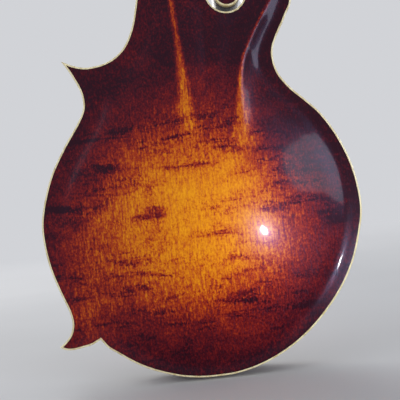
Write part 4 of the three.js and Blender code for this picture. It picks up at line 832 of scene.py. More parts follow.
BURST = (
    (0.0, rgb(222, 152, 12)), (0.24, rgb(206, 126, 8)), (0.38, rgb(188, 96, 10)), (0.53, rgb(158, 52, 14)),
    (0.67, rgb(116, 24, 17)), (0.84, rgb(76, 10, 18)), (1.0, rgb(40, 5, 14)))
TOP_BURST = (
    (0.0, rgb(230, 158, 54)), (0.3, rgb(216, 134, 38)), (0.5, rgb(180, 84, 26)), (0.68, rgb(118, 38, 22)),
    (0.85, rgb(72, 18, 18)), (1.0, rgb(40, 11, 14)))
DARK_RED = ((0.0, rgb(122, 36, 20)), (0.5, rgb(84, 20, 18)), (1.0, rgb(46, 12, 14)))


class Finishes:
    """All of the instrument's finishes, each mixed once, and the record's slot that each belongs to."""

    def __init__(self) -> None:
        """Mixes the materials."""
        makers = {
            "maple_back": Varnish("curly_maple_back", Figure.CURLY, BURST),
            "maple_ribs": Varnish("stained_maple_ribs", Figure.CURLY, DARK_RED, 0.24, 0.4, 0.4, 0.6),
            "spruce_top": Varnish("spruce_top", Figure.STRAIGHT, TOP_BURST),
            "maple_neck": Varnish("stained_maple_neck", Figure.PLAIN, DARK_RED, 0.24, 0.3, 0.45, 0.6),
            "bare_wood": Timber("bare_wood", rgb(214, 180, 132), rgb(180, 138, 92), (60.0, 60.0, 9.0), 0.7),
            "ivoroid": Plastic("ivoroid", rgb(232, 221, 178), rgb(206, 188, 138), (420.0, 420.0, 30.0)),
            "ebony": Timber("ebony", rgb(30, 25, 22), rgb(52, 40, 32), (520.0, 90.0, 16.0), 0.36),
            "black_lacquer": Plastic("black_lacquer", rgb(14, 13, 14), rgb(24, 21, 22), (8.0, 8.0, 8.0), 0.1),
            "bone": Plastic("bone", rgb(236, 228, 204), rgb(214, 202, 170), (120.0, 300.0, 120.0), 0.3),
            "nickel": Metal("nickel_plate", rgb(198, 194, 185), rgb(184, 179, 168), 0.14, (38.0, 38.0, 38.0)),
            "steel": Metal("plain_steel", rgb(186, 186, 188), rgb(150, 150, 152), 0.2),
            "bronze": Metal("wound_bronze", rgb(196, 150, 88), rgb(158, 112, 60), 0.26),
            "pearl": Plastic("pearl_buttons", rgb(238, 232, 216), rgb(214, 200, 172), (150.0, 70.0, 70.0),
                             0.16, 0.42, 0.6, 1.5),
            "tortoise": Plastic("tortoise_guard", rgb(22, 9, 6), rgb(122, 46, 16), (46.0, 46.0, 46.0),
                                0.12, 0.5, 0.68, 1.2),
        }
        self.made = {slot: maker.material() for slot, maker in makers.items()}

    def of(self, slot: str) -> bpy.types.Material:
        """The material of a slot."""
        return self.made[slot]


# Putting pieces into the scene


def added(name: str, data: bpy.types.ID) -> bpy.types.Object:
    """A new object with this data, linked into the scene."""
    made = bpy.data.objects.new(name, data)
    bpy.context.scene.collection.objects.link(made)
    return made


class Bench:
    """Turns shells into finished pieces and sees that each one rides on its body."""

    def __init__(self, finishes: Finishes) -> None:
        """Keeps the finishes and starts the count of pieces."""
        self.finishes = finishes
        self.count = 0

    def piece(self, name: str, shell: Shell, slot: str, body: str = ROOT, replaces: Sequence[str] = (),
              crease: float = 32.0, numbers: dict | None = None, finish: str | None = None) -> None:
        """Makes one piece.

        Args:
            name: the piece's name.
            shell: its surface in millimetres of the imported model's frame.
            slot: the record's material slot.
            body: the body that it rides on.
            replaces: CAD nodes that it stands for.
            crease: edges sharper than this many degrees stay sharp.
            numbers: values stored on its points, by name.
            finish: another finish than the slot's own.
        """
        mesh = bpy.data.meshes.new(name)
        mesh.from_pydata((shell.points * MM).tolist(), [], shell.faces)
        for key, values in (numbers or {}).items():
            stored = mesh.attributes.new(key, "FLOAT", "POINT")
            stored.data.foreach_set("value", np.asarray(values, np.float32))
        work = bmesh.new()
        work.from_mesh(mesh)
        bmesh.ops.remove_doubles(work, verts=work.verts, dist=2e-6)
        bmesh.ops.dissolve_degenerate(work, dist=1e-6, edges=work.edges)
        bmesh.ops.recalc_face_normals(work, faces=work.faces)
        work.to_mesh(mesh)
        work.free()
        mesh.shade_smooth()
        mesh.set_sharp_from_angle(angle=math.radians(crease))
        mesh.materials.append(self.finishes.of(finish or slot))
        made = added(name, mesh)
        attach(made, body)
        if replaces:
            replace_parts(made, *replaces)
        self.count += 1
        log.info("%s: %d faces on %s", name, len(mesh.polygons), body)

    def dress(self, node: str, slot: str) -> None:
        """Gives a CAD node that stays its finish."""
        target = frame["nodes"][node]
        slots = target.data.materials
        if not len(slots):
            slots.append(self.finishes.of(slot))
        for k in range(len(slots)):
            slots[k] = self.finishes.of(slot)


# The body


class Side(Enum):
    """The two plates. The value is the way that each faces along Y."""

    TOP = -1
    BACK = 1


@dataclass(frozen=True)
class Ridge:
    """A ridge carved along a line of a plate.

    It is tall times (1 - u)^2.3 high, where u is the distance from the line as a share of half, rounded off
    near 0. Along the line it swells and dies out, by the shares in swell at the places in along.
    """

    line: Sequence
    tall: float
    half: float
    along: tuple
    swell: tuple

    def height(self, plan: Array) -> Array:
        """The ridge's height over the plan points."""
        gap, share = distance_to(plan, smooth_line(self.line, LINE_STEP), closed=False)
        u = (np.sqrt(gap**2 + 2.0) - math.sqrt(2.0)) / self.half
        return self.tall * np.clip(1.0 - u, 0.0, 1.0) ** 2.3 * np.interp(share, self.along, self.swell)


@dataclass
class Body:
    """The sound box: its outline, arched plates, bindings and ribs. Lengths are in millimetres."""

    half_width: float = 127.0
    length: float = 346.0
    half_rim: float = 17.5
    edge: float = 5.0
    rib: float = 2.0
    binding: float = 1.4
    glue: float = 0.1
    crowns: dict = field(default_factory=lambda: {Side.TOP: 15.0, Side.BACK: 13.0})
    arch_at: float = 0.45
    arch_up: float = 0.5
    arch_down: float = 0.435
    arch_half: float = 0.93
    arch_half_above: float = 0.5
    arch_narrow: float = 0.78
    thickness: float = 4.2
    skirt: float = 9.0
    recurve_depth: float = 1.1
    recurve_inset: float = 11.0
    recurve_spread: float = 8.0
    neck_joint: float = 0.913
    slot_width: float = 6.4
    slot_end: float = 3.4
    eye_radius: float = 10.6
    wall_margin: float = 21.2
    eye_share: float = 0.8815
    arm_from: float = 0.85
    cap_half: float = 12.6
    cap_length: float = 11.0
    cap_step: float = 1.5
    cap_fillet: float = 1.2
    step: float = 0.9
    grid: float = 1.9
    hole_at: tuple = (0.46, 0.47)
    hole_sway: float = 13.0
    hole_reach: float = 40.0
    hole_half: float = 3.25
    hole_thin: float = 0.35
    hole_nick: float = 0.9
    low_eye: tuple = (3.5, 1.0, 5.0)
    high_eye: tuple = (-2.8, -1.0, 4.0)
    streak_shade: float = 0.36
    streak_fade: float = 0.16
    streak_fades: tuple = (205.0, 285.0)
    streak_edge: float = 0.26
    curl_fades: tuple = (196.0, 226.0)
    curl_loss: float = 0.85

    treble = [(0.979, 0.104), (0.939, 0.116), (0.903, 0.132), (0.886, 0.153), (0.892, 0.178), (0.947, 0.236),
              (0.99, 0.29), (1.013, 0.35), (1.013, 0.39), (0.994, 0.427), (0.927, 0.498), (0.825, 0.563),
              (0.716, 0.62), (0.68, 0.646), (0.674, 0.663), (0.682, 0.687), (0.737, 0.733), (0.785, 0.763)]
    upper_point = [(0.785, 0.763), (0.704, 0.749), (0.635, 0.743), (0.578, 0.744), (0.518, 0.748),
                   (0.455, 0.758), (0.391, 0.777), (0.348, 0.801), (0.312, 0.832), (0.286, 0.868),
                   (0.268, 0.893), (0.236, 0.909), (0.19, 0.913)]
    bass = [(-0.693, 0.84), (-0.667, 0.823), (-0.633, 0.8), (-0.588, 0.771), (-0.559, 0.747), (-0.55, 0.731),
            (-0.554, 0.708), (-0.573, 0.684), (-0.605, 0.665), (-0.648, 0.645), (-0.723, 0.618),
            (-0.808, 0.584), (-0.894, 0.533), (-0.97, 0.463), (-1.004, 0.395), (-1.006, 0.347),
            (-0.973, 0.292), (-0.923, 0.237), (-0.841, 0.181), (-0.733, 0.13), (-0.598, 0.082),
            (-0.452, 0.045), (-0.292, 0.018), (-0.131, 0.003), (0.0, 0.0), (0.11, 0.001), (0.22, 0.007),
            (0.325, 0.018), (0.43, 0.033), (0.525, 0.052), (0.614, 0.075), (0.679, 0.093), (0.718, 0.112)]
    lower_point = [(0.718, 0.112), (0.78, 0.102), (0.836, 0.098), (0.897, 0.095), (0.943, 0.097),
                   (0.979, 0.104)]
    arm_top = [(-0.2175, 0.905), (-0.2175, 0.935), (-0.232, 0.966), (-0.262, 0.988), (-0.31, 0.999),
               (-0.39, 1.002), (-0.48, 0.994), (-0.56, 0.976), (-0.626, 0.951), (-0.675, 0.919),
               (-0.696, 0.883), (-0.701, 0.857)]
    scroll_ridge = [(-78.5, 304.0), (-72.2, 295.6), (-64.5, 284.3), (-56.9, 273.0), (-50.0, 260.8),
                    (-44.7, 248.5), (-41.6, 234.3), (-40.2, 221.6), (-39.6, 205.0), (-39.0, 188.0)]
    heel_ridge = [(7.5, 312.0), (7.3, 303.9), (5.3, 271.5), (4.6, 247.2), (3.9, 223.0), (3.4, 196.0)]
    valley = [(-20.0, 318.0), (-17.5, 290.0), (-16.5, 262.0), (-16.0, 236.0), (-15.0, 212.0)]
    scroll = Ridge(scroll_ridge, 3.5, 15.0, (0.0, 0.06, 0.2, 0.5, 0.75, 1.0),
                   (0.2, 0.55, 0.95, 1.0, 0.45, 0.0))
    heel = Ridge(heel_ridge, 1.5, 17.0, (0.0, 0.2, 0.6, 1.0), (0.9, 1.0, 0.8, 0.0))
    sunk = Ridge(valley, -1.3, 13.0, (0.0, 0.25, 0.6, 1.0), (0.5, 1.0, 0.8, 0.0))
    ridges = {Side.TOP: (scroll,), Side.BACK: (scroll, heel, sunk)}
    ovals = {Side.TOP: (0.0, 150.0, 118.0, 150.0, 150.0, 1.0, 34.0),
             Side.BACK: (4.0, 126.0, 127.0, 127.0, 120.0, 0.98, 14.0)}
    shading = ((0.0, 0.4, 0.6, 0.75, 1.0), (0.24, 0.36, 0.6, 0.76, 0.96))
    redder = ((-0.14, -76.0, 192.0, 28.0, 34.0), (0.24, 103.0, 48.0, 24.0, 36.0),
              (0.1, 98.0, 108.0, 36.0, 50.0))
    streaks = ((heel_ridge, (186.0, 204.0, 226.0, 254.0, 286.0), (20.0, 9.0, 4.8, 3.0, 2.0)),
               (scroll_ridge, (186.0, 204.0, 216.0, 230.0, 250.0), (16.0, 7.0, 3.6, 1.9, 1.1)))

    def __post_init__(self) -> None:
        """Works out the outlines that everything else on the body follows."""
        lines = [smooth_line(sized(s, self.half_width, self.length), self.step)
                 for s in (self.treble, self.upper_point)]
        joint = self.neck_joint * self.length
        lines[1][-1] = (self.upper_point[-1][0] * self.half_width, joint)
        scroll = self._scroll(joint)
        lower = smooth_line(sized(self.lower_point, self.half_width, self.length), self.step)
        straight = spaced(np.array([lines[1][-1], scroll[0]]), 2.0)
        cap = self._heel_cap(lines[1][-1], scroll[0], joint)
        self.stretches = {side: [*lines, joining, scroll, lower]
                          for side, joining in ((Side.TOP, straight), (Side.BACK, cap))}
        self.outline = inset_ring(self.stretches[Side.TOP], 0.0)

    def _scroll(self, joint: float) -> Array:
        """The scroll's edge: down the slot's wall, round the slot, over the arm and down the bass side."""
        eye = (-(self.wall_margin + self.slot_width + self.eye_radius), self.eye_share * self.length)
        arm = np.array(sized(self.arm_top, self.half_width, self.length))
        settled = smoothstep(arm[:, 1], self.arm_from * self.length, self.length)
        arm[:, 0] += (eye[0] + self.eye_radius - arm[0, 0]) * settled
        start = [(-self.wall_margin, joint), (-self.wall_margin, lerp(eye[1], joint, 0.5))]
        slot = slot_knots(eye, self.eye_radius, self.slot_width, self.slot_end)
        bass = sized(self.bass, self.half_width, self.length)
        return smooth_line([*start, *slot, *arm.tolist(), *bass], self.step)

    def _heel_cap(self, first: Array, last: Array, joint: float) -> Array:
        """The back's rounded button over the heel: a flattened half round between two short fillets.

        Args:
            first: where it starts.
            last: where it ends.
            joint: Z of the neck's joint.

        Returns:
            The points, both ends included.
        """
        turn = np.linspace(0.0, math.pi, 41)
        x = self.cap_half * np.cos(turn)
        z = joint + self.cap_step + (self.cap_length - self.cap_step) * np.sin(turn) ** 0.7
        fillet = self.cap_half + self.cap_fillet
        knots = [first, (fillet, joint), *np.stack([x, z], axis=1), (-fillet, joint), last]
        return spaced(np.array(knots), self.step)

    def arch(self, x: Array, z: Array) -> Array:
        """Share of the crown: (1 - t^2)^1.6 over an oval that narrows upwards, where t is 1 at its rim."""
        crown, narrow = self.arch_at * self.length, self.arch_narrow * self.length
        reach = np.where(z > crown, self.arch_up, self.arch_down) * self.length
        half = lerp(self.arch_half, self.arch_half_above, smoothstep(z, crown, narrow)) * self.half_width
        t = np.clip(np.hypot(x / half, (z - crown) / reach), 0.0, 1.0)
        return (1.0 - t * t) ** 1.6

    def height(self, plan: Array, side: Side, distance: Array) -> Array:
        """A plate's outer face above its glue face.

        The edge's thickness, plus the arch, less a shallow trough that follows the outline, plus the ridges,
        which settle down to nothing in the last millimetres before the edge.

        Args:
            plan: plan points.
            side: the plate.
            distance: each point's distance from the outline.

        Returns:
            A height for each point.
        """
        x, z = plan[:, 0], plan[:, 1]
        trough = self.recurve_depth * np.exp(-(((distance - self.recurve_inset) / self.recurve_spread) ** 2))
        tall = self.edge + self.crowns[side] * self.arch(x, z) - trough
        settle = smoothstep(distance, 1.0, 9.0)
        for ridge in self.ridges[side]:
            tall += settle * ridge.height(plan)
        return tall

    def hollow(self, plan: Array, side: Side, distance: Array) -> Array:
        """Height of the hollow inside a plate, held at the glue face where the plate sits on its linings.

        Args:
            plan: plan points.
            side: the plate.
            distance: each point's distance from the outline.

        Returns:
            A height for each point.
        """
        deep = self.edge + self.crowns[side] * self.arch(plan[:, 0], plan[:, 1]) - self.thickness
        inwards = smoothstep(distance, 0.6 * self.skirt, self.skirt + self.recurve_inset)
        return np.maximum(0.0, lerp(-1.0, deep, inwards))

    def burst(self, plan: Array, side: Side, distance: Array) -> Array:
        """How far the varnish has darkened, 0 in the warm middle to 1 at the edge.

        An oval round the middle, pushed up close to the outline. On the back it is pulled down along the
        scroll's and the heel's ridges, and some patches are redder, or darker where their drop is below 0.

        Args:
            plan: plan points.
            side: the plate.
            distance: each point's distance from the outline.

        Returns:
            A share for each point.
        """
        x, z = plan[:, 0], plan[:, 1]
        across, up, half, above, below, most, margin = self.ovals[side]
        shade = np.hypot((x - across) / half, (z - up) / np.where(z > up, above, below))
        if side is Side.BACK:
            shade = np.interp(shade, *self.shading)
            pale = self.streak_shade + self.streak_fade * smoothstep(z, *self.streak_fades)
            for line, heights, halves in self.streaks:
                gap, _ = distance_to(plan, smooth_line(line, LINE_STEP), closed=False)
                wide = np.interp(z, heights, halves)
                shade = np.minimum(shade, pale + self.streak_edge * (gap / wide) ** 1.5)
        shade = np.maximum(shade, most - distance / margin)
        if side is Side.BACK:
            for drop, across, up, wide, tall in self.redder:
                shade -= drop * np.exp(-(((x - across) / wide) ** 2) - ((z - up) / tall) ** 2)
        return np.clip(shade, 0.0, 1.0)

    def f_hole(self, sign: int) -> Array:
        """One f-hole: a slim S that swells in the middle, with two round eyes and a nick on each side."""
        t = np.linspace(-1.0, 1.0, 33)
        middle = len(t) // 2
        x = self.hole_at[0] * self.half_width - self.hole_sway * np.sin(t * math.pi / 2)
        z = self.hole_at[1] * self.length + self.hole_reach * t
        half = self.hole_half * lerp(self.hole_thin, 1.0, np.cos(t * math.pi / 2))
        right = np.stack([x + half, z], axis=1)
        left = np.stack([x - half, z], axis=1)[::-1]
        right[middle, 0] -= self.hole_nick
        left[middle, 0] += self.hole_nick
        low, high = ((x[k] + across, z[k] + up, radius)
                     for k, (across, up, radius) in ((0, self.low_eye), (-1, self.high_eye)))
        return self._with_eyes(right, left, low, high) * np.array([sign, 1.0])

    @staticmethod
    def _with_eyes(right: Array, left: Array, low: tuple, high: tuple) -> Array:
        """The outline round an S stroke and its two round eyes, with each eye's arc put in where it leaves.

        Args:
            right: the stroke's right edge, going up.
            left: its left edge, going down.
            low: the lower eye's centre and radius.
            high: the upper eye's.

        Returns:
            The whole outline.
        """
        def clear(edge: Array, eye: tuple) -> Array:
            """The points of an edge outside an eye."""
            return edge[np.linalg.norm(edge - eye[:2], axis=1) > eye[2]]

        parts = []
        for edge, other, first, (x, z, radius) in ((right, left, low, high), (left, right, high, low)):
            leave, enter = clear(edge, (x, z, radius))[-1], clear(other, (x, z, radius))[0]
            start, end = (math.atan2(point[1] - z, point[0] - x) for point in (leave, enter))
            turn = np.linspace(start, end + 2 * math.pi * (end < start), 28)[1:-1]
            parts += [clear(clear(edge, (x, z, radius)), first),
                      np.stack([x + radius * np.cos(turn), z + radius * np.sin(turn)], axis=1)]
        return np.concatenate(parts)

    def plate(self, side: Side) -> tuple[Shell, Array]:
        """A carved plate as a closed shell, and the varnish's burst on its points."""
        ring = inset_ring(self.stretches[side], self.binding + self.glue)
        holes = [self.f_hole(1), self.f_hole(-1)[::-1]] if side is Side.TOP else []
        plan, tris = filled(ring, holes, self.grid)
        distance = np.where(within(plan, self.outline), distance_to(plan, self.outline)[0], 0.0)
        outer = self.half_rim + self.height(plan, side, distance)
        inner = self.half_rim + self.hollow(plan, side, distance)
        burst = self.burst(plan, side, distance)
        faces = (-outer, -inner) if side is Side.TOP else (inner, outer)
        return slab(plan, tris, *faces), np.concatenate([burst, burst])

    def bound_edge(self, side: Side) -> Shell:
        """A plate's binding: a strip round the edge, its outer corner scraped round."""
        sign, low, high = side.value, self.half_rim + self.glue, self.half_rim + self.edge
        profile = [(0.0, low), (0.0, high - 0.75), (0.06, high - 0.42), (0.22, high - 0.18),
                   (0.5, high - 0.03), (0.9, high), (self.binding, high), (self.binding, low)]
        return ring_band(self.stretches[side], [(inset, sign * y) for inset, y in profile])

    def build(self, bench: Bench) -> None:
        """Makes the plates, bindings and ribs."""
        for side, slot, node in ((Side.BACK, "maple_back", "back"), (Side.TOP, "spruce_top", "top")):
            shell, burst = self.plate(side)
            strength = 1.0 - self.curl_loss * smoothstep(shell.points[:, 2], *self.curl_fades)
            bench.piece(f"carved_{node}", shell.placed(BODY), slot, replaces=[f"{node}_plate"],
                        crease=40.0, numbers={"burst": burst, "curl": strength})
            bench.piece(f"bound_{node}_edge", self.bound_edge(side).placed(BODY), "ivoroid",
                        replaces=[f"{node}_binding"])
        tall, deep = self.half_rim, self.rib
        ribs = ring_band(self.stretches[Side.TOP], [(0.0, -tall), (0.0, tall), (deep, tall), (deep, -tall)])
        bench.piece("bent_ribs", ribs.placed(BODY), "maple_ribs", replaces=["ribs"])


def slot_knots(eye: Sequence[float], rim: float, wide: float, end: float) -> list[tuple[float, float]]:
    """A scroll's slot: round under the eye along the outer wall, a round end, and back along the eye's rim.

    Args:
        eye: the eye's centre.
        rim: the eye's radius.
        wide: the slot's width where it starts, on the eye's right.
        end: its width where it ends.

    Returns:
        The knots, in order.
    """
    def around(radius: float, degrees: float) -> tuple[float, float]:
        """A point at a distance from the eye's centre."""
        turn = math.radians(degrees)
        return (eye[0] + radius * math.cos(turn), eye[1] + radius * math.sin(turn))

    stop = 160
    wall = [around(rim + lerp(wide, end, min(1.0, math.sqrt(degrees / (stop - 360)))), degrees)
            for degrees in (0, -30, -60, -90, -120, -150, -175, -195)]
    middle = around(rim + end / 2, stop)
    turns = [math.radians(stop - 90 - degrees) for degrees in (-60, 0, 60)]
    tip = [(middle[0] + end / 2 * math.cos(t), middle[1] + end / 2 * math.sin(t)) for t in turns]
    return [*wall, *tip, *(around(rim, degrees) for degrees in (170, 200, 230, 260, 290, 320, 350))]


# Small shapes


def screw(radius: float, rise: float, sink: float = 1.0) -> Shell:
    """A screw's head, facing -Y: a dome with one straight slot, nearly half as deep as the dome is high.

    The dome's height is rise times sqrt(1 - (0.93 s)^2), where s is the share of the radius.

    Args:
        radius: the head's radius.
        rise: the dome's height.
        sink: how far the rim goes down.

    Returns:
        The shell.
    """
    share = np.array([1.0, 0.9, 0.7, 0.4, 0.13, 0.12, 0.0])[:, None]
    turn = full_turn(32)
    x, z = radius * share * np.cos(turn), radius * share * np.sin(turn)
    slot, deep = np.abs(x) < 0.125 * radius, 0.45 * rise
    tall = rise * np.sqrt(np.clip(1.0 - (share * 0.93) ** 2, 0.0, 1.0)) - deep * slot
    skirt = np.stack([x[:1], np.full_like(x[:1], sink), z[:1]], axis=2)
    head = np.stack([x, -tall, z], axis=2)
    return lofted(np.concatenate([skirt, head]))


def cushion(stretches: Sequence[Array], profile: Sequence[tuple[float, float]]) -> Shell:
    """A plate with a shaped edge: an open section carried round it, its first and last rings filled.

    Args:
        stretches: the outline, as for inset_ring.
        profile: the section, as for carried.

    Returns:
        The shell.
    """
    rings = carried(stretches, profile)
    shell = lofted(rings, capped=False)
    for ring, (_, y), way in ((rings[0], profile[0], 1), (rings[-1], profile[-1], -1)):
        plan, tris = filled(ring[:, [0, 2]])
        shell.add(raised(plan, y), tris[:, ::way].tolist())
    return shell


def cut_flat(shell: Shell, point: Sequence[float], outward: Sequence[float]) -> Shell:
    """A shell without what lies beyond a plane, closed again along the cut.

    Args:
        shell: the whole shell.
        point: a point of the plane.
        outward: the plane's normal, towards what is cut off.

    Returns:
        The shell that is left.
    """
    mesh = bpy.data.meshes.new("cutting")
    mesh.from_pydata(shell.points.tolist(), [], shell.faces)
    work = bmesh.new()
    work.from_mesh(mesh)
    bmesh.ops.remove_doubles(work, verts=work.verts, dist=1e-4)
    everything = [*work.verts, *work.edges, *work.faces]
    made = bmesh.ops.bisect_plane(work, geom=everything, plane_co=point, plane_no=outward, clear_outer=True)
    rim = [part for part in made["geom_cut"] if isinstance(part, bmesh.types.BMEdge)]
    bmesh.ops.contextual_create(work, geom=rim)
    work.to_mesh(mesh)
    work.free()
    points = np.zeros(len(mesh.vertices) * 3)
    mesh.vertices.foreach_get("co", points)
    faces = [list(polygon.vertices) for polygon in mesh.polygons]
    bpy.data.meshes.remove(mesh)
    return Shell(points.reshape(-1, 3), faces)


# Neck, headstock and fingerboard


@dataclass
class Neck:
    """The neck with its heel, the headstock and the fingerboard, in the neck's own frame at the nut."""

    scale: float = 353.0
    angle: float = math.radians(6.2)
    board_rise: float = 33.0
    board: float = 5.5
    nut_half: float = 14.3
    joint_half: float = 20.5
    nut_depth: float = 13.5
    heel_depth: float = 16.0
    edge_strip: float = 1.5
    head_angle: float = math.radians(13.0)
    head_length: float = 166.0
    head_half: float = 31.0
    head_thickness: float = 15.0
    head_strip: float = 1.5
    head_at: tuple = (0.0, 4.0, 4.9)
    head_slot: tuple = (5.4, 2.6, 1.8)
    head_step: float = 0.7
    veneer: float = 1.6
    heel_start: float = 0.76
    heel_end: float = 0.935
    heel_over: float = 17.5
    cap_face: float = 17.2
    frets: int = 24
    last_fret: int = 29
    wire: tuple = (1.05, 0.95, 0.4, 0.35)
    short_from: float = 4.6
    joint_z: float = Body.neck_joint * Body.length

    head_root = [(0.48, 0.0), (0.54, 0.045), (0.7, 0.1), (0.92, 0.155), (1.0, 0.205), (1.0, 0.3),
                 (0.985, 0.45)]
    head_side = [*head_root, (1.0, 0.62), (1.03, 0.7), (1.16, 0.79), (1.42, 0.875)]
    head_crest = [(1.42, 0.875), (1.16, 0.86), (0.9, 0.845), (0.62, 0.842), (0.36, 0.853), (0.06, 0.88)]
    head_scroll = [(-0.455, 0.915), (-0.47, 0.945), (-0.56, 0.974), (-0.7, 0.992), (-0.87, 0.995),
                   (-1.03, 0.978), (-1.16, 0.942), (-1.24, 0.89), (-1.2, 0.825), (-1.09, 0.77), (-1.01, 0.7),
                   (-0.985, 0.62), *((-x, z) for x, z in reversed(head_root))]
    head_eye = (-0.63, 0.892)
    bell = [(0.855, 0.0), (1.0, 0.107), (0.947, 0.25), (0.658, 0.464), (0.553, 0.679), (0.447, 0.857),
            (0.0, 1.0)]

    def __post_init__(self) -> None:
        """Works out where the neck and the headstock are."""
        self.joint = -self.fret(15)
        self.place = Place((0.0, -self.board_rise + self.joint * math.sin(self.angle),
                            self.joint_z + self.joint * math.cos(self.angle)), self.angle)
        self.head = Place(self.head_at, self.head_angle)
        side, crest, scroll, (eye,) = (sized(shares, self.head_half, self.head_length) for shares in (
            self.head_side, self.head_crest, self.head_scroll, [self.head_eye]))
        side = smooth_line(side, self.head_step)
        over = smooth_line([*crest, *slot_knots(eye, *self.head_slot)[1:], *scroll], self.head_step)
        self.outline = [side, over, spaced(np.array([over[-1], side[0]]), 1.5)]

    def fret(self, number: float) -> float:
        """Z of a fret in the neck's frame: the scale length shortened by a twelfth root of two for each."""
        return -self.scale * (1.0 - 2.0 ** (-number / 12.0))

    def half_at(self, z: Number) -> Number:
        """Half of the fingerboard's width at a height."""
        return lerp(self.nut_half, self.joint_half, -z / self.joint)

    def depth_at(self, z: Array) -> Array:
        """The neck's depth behind the fingerboard: a slow taper, then the heel's curve, a power of 2.1."""
        start, end = self.heel_start * self.joint, self.heel_end * self.joint
        shaft = lerp(self.nut_depth, self.heel_depth, np.minimum(1.0, -z / start))
        heel = np.maximum(0.0, (-z - start) / (end - start))
        full = self.board_rise + self.heel_over - self.board
        return shaft + (full - shaft) * np.minimum(heel**2.1, 1.25)

    def outward(self, shell: Shell) -> Shell:
        """A shell of the neck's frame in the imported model's frame."""
        return shell.placed(self.place, BODY)

    def head_outward(self, shell: Shell) -> Shell:
        """A shell of the headstock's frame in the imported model's frame."""
        return shell.placed(self.head, self.place, BODY)

    def shaft(self) -> Shell:
        """Shaft and heel: rings of a flattened half round, cut at the ribs and at the back's cap."""
        z = np.concatenate([np.linspace(0.026, -0.74, 40), np.linspace(-0.745, -1.05, 70)]) * self.joint
        turn = np.linspace(0.0, math.pi, 49)[None, :]
        half, depth = self.half_at(z)[:, None], self.depth_at(z)[:, None]
        x = half * flattened(np.cos(turn), 0.85)
        y = self.board + 0.1 + depth * np.abs(np.sin(turn)) ** 0.9
        shell = lofted(np.stack([x, y, np.broadcast_to(z[:, None], x.shape)], axis=2)).placed(self.place)
        shell = cut_flat(shell, (0.0, 0.0, self.joint_z + 0.3), (0.0, 0.0, -1.0))
        return cut_flat(shell, (0.0, self.cap_face, 0.0), (0.0, 1.0, 0.0)).placed(BODY)

    def tongue(self) -> Shell:
        """The neck's wood under the fingerboard's end, thinning towards its tip."""
        low, high, half = self.fret(self.frets) + 4.0, -self.joint + 6.0, self.joint_half - 3.5
        top = self.board + 0.1
        rings = [[(-half, top, z), (half, top, z), (half - 0.8, top + deep, z), (0.8 - half, top + deep, z)]
                 for z, deep in ((low, 1.6), (-self.joint, 3.2), (high, 3.2))]
        return self.outward(lofted(np.array(rings)))

    def head_wood(self) -> Shell:
        """The headstock's maple, its back edge rounded, with a step in front for veneer and binding."""
        gap = self.head_strip + 0.1
        section = [(gap, self.veneer + 0.1), (gap, 4.1), (0.0, 4.1), (0.0, 13.0), (0.12, 13.9), (0.5, 14.6),
                   (1.1, 14.92), (1.7, self.head_thickness)]
        return self.head_outward(cushion(self.outline, section))

    def head_edge(self) -> Shell:
        """The headstock's binding, round the two sides and the crest and open at the nut."""
        keep = len(self.outline[0]) + len(self.outline[1]) - 2
        section = [(0.0, 4.0), (0.0, 0.4), (0.12, 0.12), (0.4, 0.0), (self.head_strip, 0.0),
                   (self.head_strip, 4.0)]
        rings = carried(self.outline, section)[:, 2:keep]
        return self.head_outward(lofted(rings.swapaxes(0, 1)))

    def board_ring(self, inset: float, nut_end: float) -> Array:
        """The fingerboard's outline: straight sides, a scooped end and the strip under the treble strings.

        Args:
            inset: how far inside the true outline.
            nut_end: Z of its end at the nut.

        Returns:
            The outline's points.
        """
        end, tip = self.fret(self.frets) - 5.0, self.fret(self.last_fret) - 2.5
        scoop = [(x * self.joint_half, lerp(end, tip, z) + inset) for x, z in ((-0.45, 0.045), (-0.2, 0.11))]
        last = (0.073 * self.joint_half + inset, lerp(end, tip, 0.62))
        curve = smooth_line([*scoop, (-0.02 * self.joint_half + inset, lerp(end, tip, 0.3)), last], 0.8)
        left, right = inset - self.half_at(end), self.half_at(tip) - inset
        top = self.nut_half - inset
        return np.array([(right, tip + inset), (top, nut_end), (-top, nut_end), (left, end + inset),
                         *curve, (3.5 + inset, tip + inset + 2.0), (6.5, tip + inset)])

    def fret_wire(self, number: int) -> Shell:
        """One fret's wire: a half-oval crown with bevelled ends, carried across the board."""
        tall, wide, root, bevel = self.wire
        turn = np.linspace(0.0, math.pi, 9)
        z = self.fret(number)
        right = self.half_at(z) - self.edge_strip - 0.1
        left = self.short_from if number > self.frets else -right
        crown = np.stack([-tall * np.sin(turn) ** 0.8, z + wide * np.cos(turn)], axis=1)
        section = np.concatenate([crown, [(root, z - wide), (root, z + wide)]])
        ends = ((left, bevel), (left + bevel, 0.0), (right - bevel, 0.0), (right, bevel))
        return lofted(np.array([np.insert(np.minimum(section + (sink, 0.0), (root, np.inf)), 0, x, axis=1)
                                for x, sink in ends]))

    def dots(self) -> Shell:
        """Pearl position dots, a disc a hair proud of the board between frets."""
        dot = turned([2.3, 2.3, 2.15, 0.8], [0.5, -0.02, -0.06, -0.07], 28)
        return self.outward(joined(
            dot.moved(across, 0.0, 0.5 * (self.fret(number) + self.fret(number - 1)))
            for number, across in ((5, 0.0), (7, 0.0), (10, 0.0), (12, -6.0), (12, 6.0), (15, 0.0))))

    def rod_cover(self) -> tuple[Shell, Shell]:
        """The bell-shaped cover behind the nut, and its three screws."""
        low, half, long = 3.0, 7.6, 28.0
        right = smooth_line([(x, low + z) for x, z in sized(self.bell, half, long)], 0.7)
        left = (right * (-1.0, 1.0))[::-1]
        base = spaced(np.array([left[-1], right[0]]), 1.0)
        plate = cushion([right, left, base], [(0.7, -1.9), (0.25, -1.78), (0.0, -1.45), (0.0, -0.1)])
        one = screw(1.35, 0.55, 0.3)
        screws = joined(one.moved(x, -1.9, z) for x, z in ((-4.6, 5.6), (4.6, 5.6), (0.0, 27.0)))
        return self.head_outward(plate), self.head_outward(screws)

